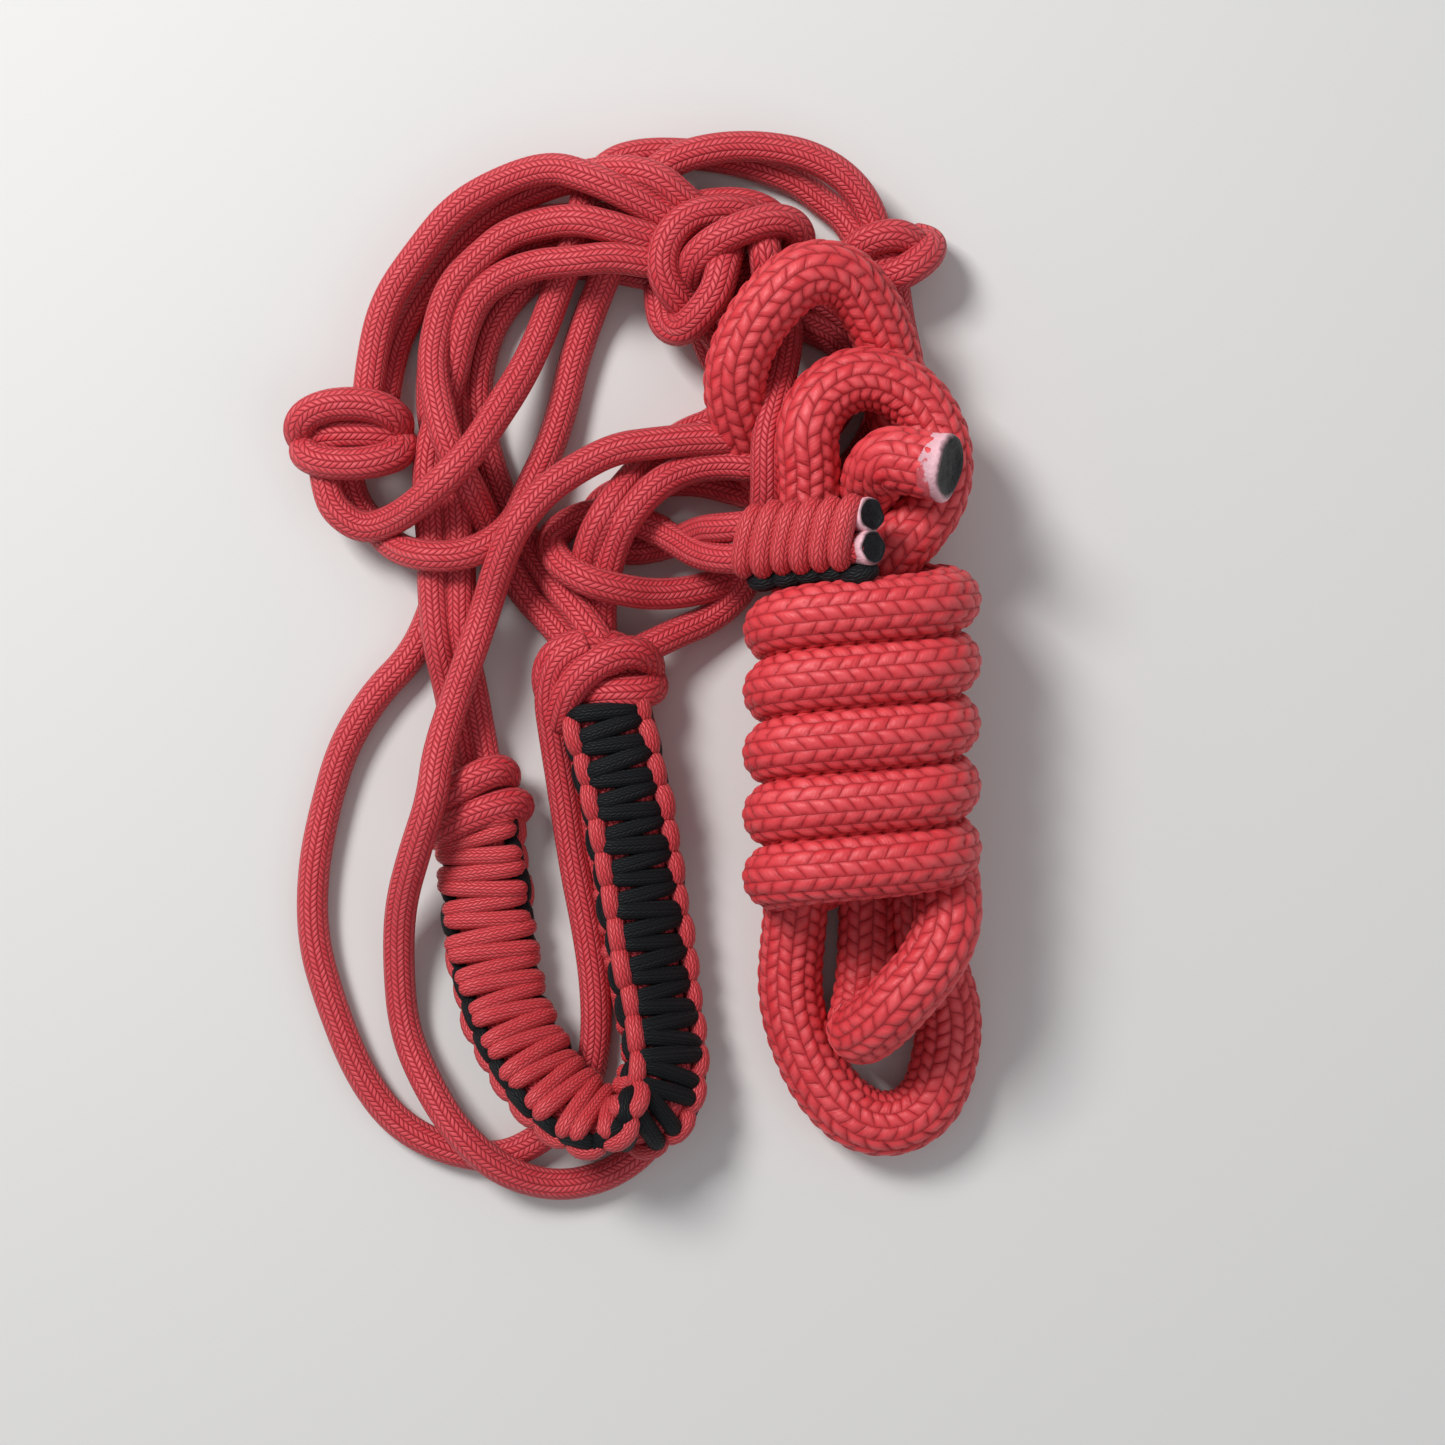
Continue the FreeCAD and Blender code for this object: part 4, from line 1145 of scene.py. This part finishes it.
def places_along(line, outward, step, slant, face, to_and_fro=True):
    """Places of the bars across one face of a band, leaning to and fro or all one way."""
    distance = distances(line)
    along = unit(np.gradient(line, axis=0))
    places = []
    last = line[0] - along[0] * step
    count = int(distance[-1] / step)
    for index in range(count):
        at = (index + 0.5) * distance[-1] / count
        spot = interpolate(at, distance, line)
        forward = unit(interpolate(at, distance, along))
        out = unit(interpolate(at, distance, outward)) * face
        crest = spot + out * BAR_HEIGHT
        if np.linalg.norm(crest - last) < step * CROWDED:
            continue
        last = crest
        aside = np.cross(forward, out)
        lean = math.radians(slant) * (-1 if to_and_fro and index % 2 else 1)
        turned_forward = forward * math.cos(lean) + aside * math.sin(lean)
        places.append((spot, turned_forward, out))
    return places


def bumps_along(line, outward, step, face, shift, sides=(1.0, -1.0), reach=BUMP_REACH):
    """Places of the loops at the edges of a band, evenly spaced along each edge's own path."""
    along = unit(np.gradient(line, axis=0))
    aside = np.cross(along, outward) * face
    places = []
    for side in sides:
        edge = line + aside * side * reach
        distance = distances(edge)
        path = even(edge, EDGE_STEP)
        for _ in range(EDGE_EASING):
            path[1:-1] = (path[:-2] + path[1:-1] * 2.0 + path[2:]) / 4.0
        way = unit(np.gradient(path, axis=0)) * side
        along_path = distances(path)
        along_path *= distance[-1] / along_path[-1]
        count = int(distance[-1] / (step * 2.0))
        for index in range(count):
            share = (index + 0.5 + shift + 0.25 * side) / count
            at = distance[-1] * min(max(share, 0.01), 0.99)
            forward = unit(interpolate(at, along_path, way))
            out = unit(interpolate(at, distance, outward)) * face
            out = unit(out - forward * np.dot(out, forward))
            spot = interpolate(at, along_path, path) - np.cross(forward, out) * reach
            places.append((spot, forward, out))
    return places


def interpolate(at, distance, values):
    """A vector at a distance along a line."""
    return np.array([np.interp(at, distance, values[:, axis]) for axis in range(3)])


def nose_line():
    """Middle of the noseband with its directions across and outward."""
    places, leans = [], []
    corners = [(u * side, v * face) for u, v in BAND_CORNERS for side in (-1, 1) for face in (-1, 1)]
    flat = [np.array((x, y, 0.0)) for x, y, _, _ in NOSE_ROUTE]
    for index, (x, y, lift, lean) in enumerate(NOSE_ROUTE):
        ahead = flat[min(index + 1, len(flat) - 1)]
        behind = flat[max(index - 1, 0)]
        across, outward = band_directions(unit(ahead - behind), math.radians(lean))
        reach = max(-across[2] * u - outward[2] * v for u, v in corners)
        places.append((x * MM, y * MM, FLOOR_GAP + reach + lift * sizes().thin))
        leans.append(math.radians(lean))
    line = smooth_line(places, NOSE_SPACING)
    share = np.linspace(0.0, 1.0, len(line))
    station = distances(np.array(places))
    lean = np.interp(share, station / station[-1], leans)
    along = unit(np.gradient(line, axis=0))
    pairs = [band_directions(way, angle) for way, angle in zip(along, lean)]
    return line, np.array([pair[0] for pair in pairs]), np.array([pair[1] for pair in pairs])


def band_directions(along, lean):
    """Directions across a leaning band and out of its black face."""
    raised = np.array((-math.cos(lean), 0.0, math.sin(lean)))
    across = unit(raised - along * np.dot(raised, along))
    return across, np.cross(along, across)


def band_core(line, across, offset):
    """One of the two cores that a band is woven round."""
    middle = line + across * offset
    along = unit(np.gradient(middle, axis=0))
    radii = np.full((len(middle), CORE_SIDES), CORE_RADIUS)
    return tube_parts(middle, (along, across, np.cross(along, across)), radii, (1.0, 1.0))


def woven_piece(name, tree, stitch_rows, slot, nodes, body):
    """All the stitches of one colour of a band as one piece."""
    parts = [set_down(tree, stitch, places, slot, seed) for stitch, places, seed in stitch_rows]
    standing_piece(name, join_parts(parts), slot, nodes, body)


def remove(pieces):
    """Remove stitches that were only there to be copied."""
    for piece in pieces:
        bpy.data.objects.remove(piece)


class HALTER_OT_noseband(bpy.types.Operator):
    """Weave the noseband, black on its outer face and red on its inner one"""

    bl_idname = "halter.noseband"
    bl_label = "Noseband"

    def execute(self, context):
        line, across, outward = nose_line()
        step = sizes().nose_step
        radius = sizes().weave_cord / 2.0
        tree = weave_tree()
        black_bar = stitch_object("black_bar", FRONT_BAR, radius * NOSE_SWELL, "black_cord")
        red_bar = stitch_object("red_bar", BACK_BAR, radius * NOSE_SWELL, "red_cord")
        red_bump = stitch_object("red_bump", FRONT_BUMP, radius * NOSE_SWELL, "red_cord")
        black_bump = stitch_object("black_bump", BACK_BUMP, radius, "black_cord")
        black_rows = [
            (black_bar, places_along(line, outward, step, 7.0, 1.0), 1),
            (black_bump, bumps_along(line, outward, step, -1.0, 0.25), 2),
        ]
        red_rows = [
            (red_bar, places_along(line, outward, step, 5.0, -1.0), 3),
            (red_bump, bumps_along(line, outward, step, 1.0, 0.0), 4),
        ]
        woven_piece("noseband_black_weave", tree, black_rows, "black_cord", ["nose_weave_black"], BODY)
        woven_piece("noseband_red_weave", tree, red_rows, "red_cord", ["nose_weave_red"], BODY)
        for name, side in (("nose_core_upper", 1.0), ("nose_core_lower", -1.0)):
            parts = band_core(line, across, CORE_OFFSET * side)
            standing_piece(name + "_rope", parts, "halter_rope", [name], BODY)
        remove([black_bar, red_bar, red_bump, black_bump])
        return {"FINISHED"}


class HALTER_OT_tail(bpy.types.Operator):
    """Weave the sleeve of the tail's end"""

    bl_idname = "halter.tail"
    bl_label = "Woven tail"

    def execute(self, context):
        along, _, outward = tail_directions()
        first = TAIL_PIVOT + along * SLEEVE_START
        line = even(np.array([first, first + along * SLEEVE_LENGTH]), SLEEVE_SPACING)
        out = np.repeat(outward[None, :], len(line), axis=0)
        step = sizes().tail_step
        radius = sizes().weave_cord / 2.0
        tree = weave_tree()
        bar = [(x * TAIL_BAR_LENGTH, y, z) for x, y, z in BACK_BAR]
        red_bar = stitch_object("red_bar", bar, radius * TAIL_BAR_SWELL, "red_cord")
        black_bar = stitch_object("black_bar", bar, radius, "black_cord")
        bump = radius * TAIL_BUMP_SWELL
        black_bump = stitch_object("black_bump", TAIL_BUMP, bump, "black_cord")
        bumps = bumps_along(line, out, step * TAIL_BUMP_STEP, 1.0, 0.0, (TAIL_BUMP_SIDE,))
        red_rows = [(red_bar, places_along(line, out, step, TAIL_LEAN, 1.0, False), 5)]
        black_rows = [
            (black_bar, places_along(line, out, step, 8.0, -1.0), 6),
            (black_bump, bumps, 7),
        ]
        woven_piece("tail_red_weave", tree, red_rows, "red_cord", ["tail_weave_red"], "tail_end")
        woven_piece("tail_black_weave", tree, black_rows, "black_cord", ["tail_weave_black"], "tail_end")
        remove([red_bar, black_bar, black_bump])
        return {"FINISHED"}


# Stage ----------------------------------------------------------------------

# Each light's place, width in metres and power in watts.
LIGHTS = {
    "key_light": ((-0.55, 0.55, 0.85), 0.36, 12.0),
    "fill_light": ((0.75, -0.45, 0.80), 0.9, 1.6),
}
SKY_COLOUR = (0.92, 0.95, 1.0, 1.0)
SKY_STRENGTH = 0.36
HALF_FLOOR = 1.5
CAMERA_PLACE = (0.01965, -0.01155, 0.550)
HALF_VIEW = 0.15895          # half the width of the floor that the camera sees


class HALTER_OT_stage(bpy.types.Operator):
    """Set the floor, the lights and the camera"""

    bl_idname = "halter.stage"
    bl_label = "Stage"

    def execute(self, context):
        self.floor()
        for name, (place, width, power) in LIGHTS.items():
            self.light(name, place, width, power)
        world = bpy.data.worlds.new("studio")
        world.use_nodes = True
        background = world.node_tree.nodes["Background"]
        background.inputs["Color"].default_value = SKY_COLOUR
        background.inputs["Strength"].default_value = SKY_STRENGTH
        context.scene.world = world
        context.scene.view_settings.view_transform = "Standard"
        self.camera(context)
        return {"FINISHED"}

    @staticmethod
    def floor():
        """A plain floor that reaches well past the view."""
        mesh = bpy.data.meshes.new("floor")
        half = HALF_FLOOR
        corners = [(-half, -half, 0.0), (half, -half, 0.0), (half, half, 0.0), (-half, half, 0.0)]
        mesh.from_pydata(corners, [], [(0, 1, 2, 3)])
        mesh.materials.append(floor_material())
        floor = bpy.data.objects.new("floor", mesh)
        bpy.context.scene.collection.objects.link(floor)

    @staticmethod
    def light(name, place, width, power):
        """A soft square light that points at the middle of the halter."""
        data = bpy.data.lights.new(name, "AREA")
        data.energy = power
        data.size = width
        light = bpy.data.objects.new(name, data)
        light.location = place
        way = -np.array(place)
        light.rotation_euler = (
            math.atan2(math.hypot(way[0], way[1]), -way[2]), 0.0,
            math.atan2(way[1], way[0]) - math.pi / 2.0,
        )
        bpy.context.scene.collection.objects.link(light)

    @staticmethod
    def camera(context):
        """A camera that looks straight down from arm's length."""
        data = bpy.data.cameras.new("camera")
        data.sensor_fit = "HORIZONTAL"
        data.angle = 2.0 * math.atan(HALF_VIEW / CAMERA_PLACE[2])
        data.clip_start = 0.01
        camera = bpy.data.objects.new("camera", data)
        camera.location = CAMERA_PLACE
        context.scene.collection.objects.link(camera)
        context.scene.camera = camera


# Panel and registration -----------------------------------------------------

class HALTER_PT_panel(bpy.types.Panel):
    """Sizes, colours and the steps of making the halter"""

    bl_idname = "HALTER_PT_panel"
    bl_label = "Rope halter"
    bl_space_type = "VIEW_3D"
    bl_region_type = "UI"
    bl_category = "Halter"

    def draw(self, context):
        for group in (context.scene.halter_sizes, context.scene.halter_colours):
            box = self.layout.box()
            for name in group.__annotations__:
                box.prop(group, name)
        for step in STEPS:
            self.layout.operator(step.bl_idname)


STEPS = (
    HALTER_OT_melted_ends,
    HALTER_OT_strands,
    HALTER_OT_knots,
    HALTER_OT_noseband,
    HALTER_OT_tail,
    HALTER_OT_lead,
    HALTER_OT_hank,
    HALTER_OT_free_end,
    HALTER_OT_stage,
)
CLASSES = (HalterSizes, HalterColours) + STEPS + (HALTER_PT_panel,)


def register():
    """Add the classes, and the sizes and colours to every scene."""
    for kind in CLASSES:
        bpy.utils.register_class(kind)
    bpy.types.Scene.halter_sizes = bpy.props.PointerProperty(type=HalterSizes)
    bpy.types.Scene.halter_colours = bpy.props.PointerProperty(type=HalterColours)


def unregister():
    """Take away what register() added."""
    del bpy.types.Scene.halter_colours
    del bpy.types.Scene.halter_sizes
    for kind in reversed(CLASSES):
        bpy.utils.unregister_class(kind)


def main():
    """Run every step in order."""
    register()
    for step in STEPS:
        group, name = step.bl_idname.split(".")
        getattr(getattr(bpy.ops, group), name)()


if __name__ == "__main__":
    main()
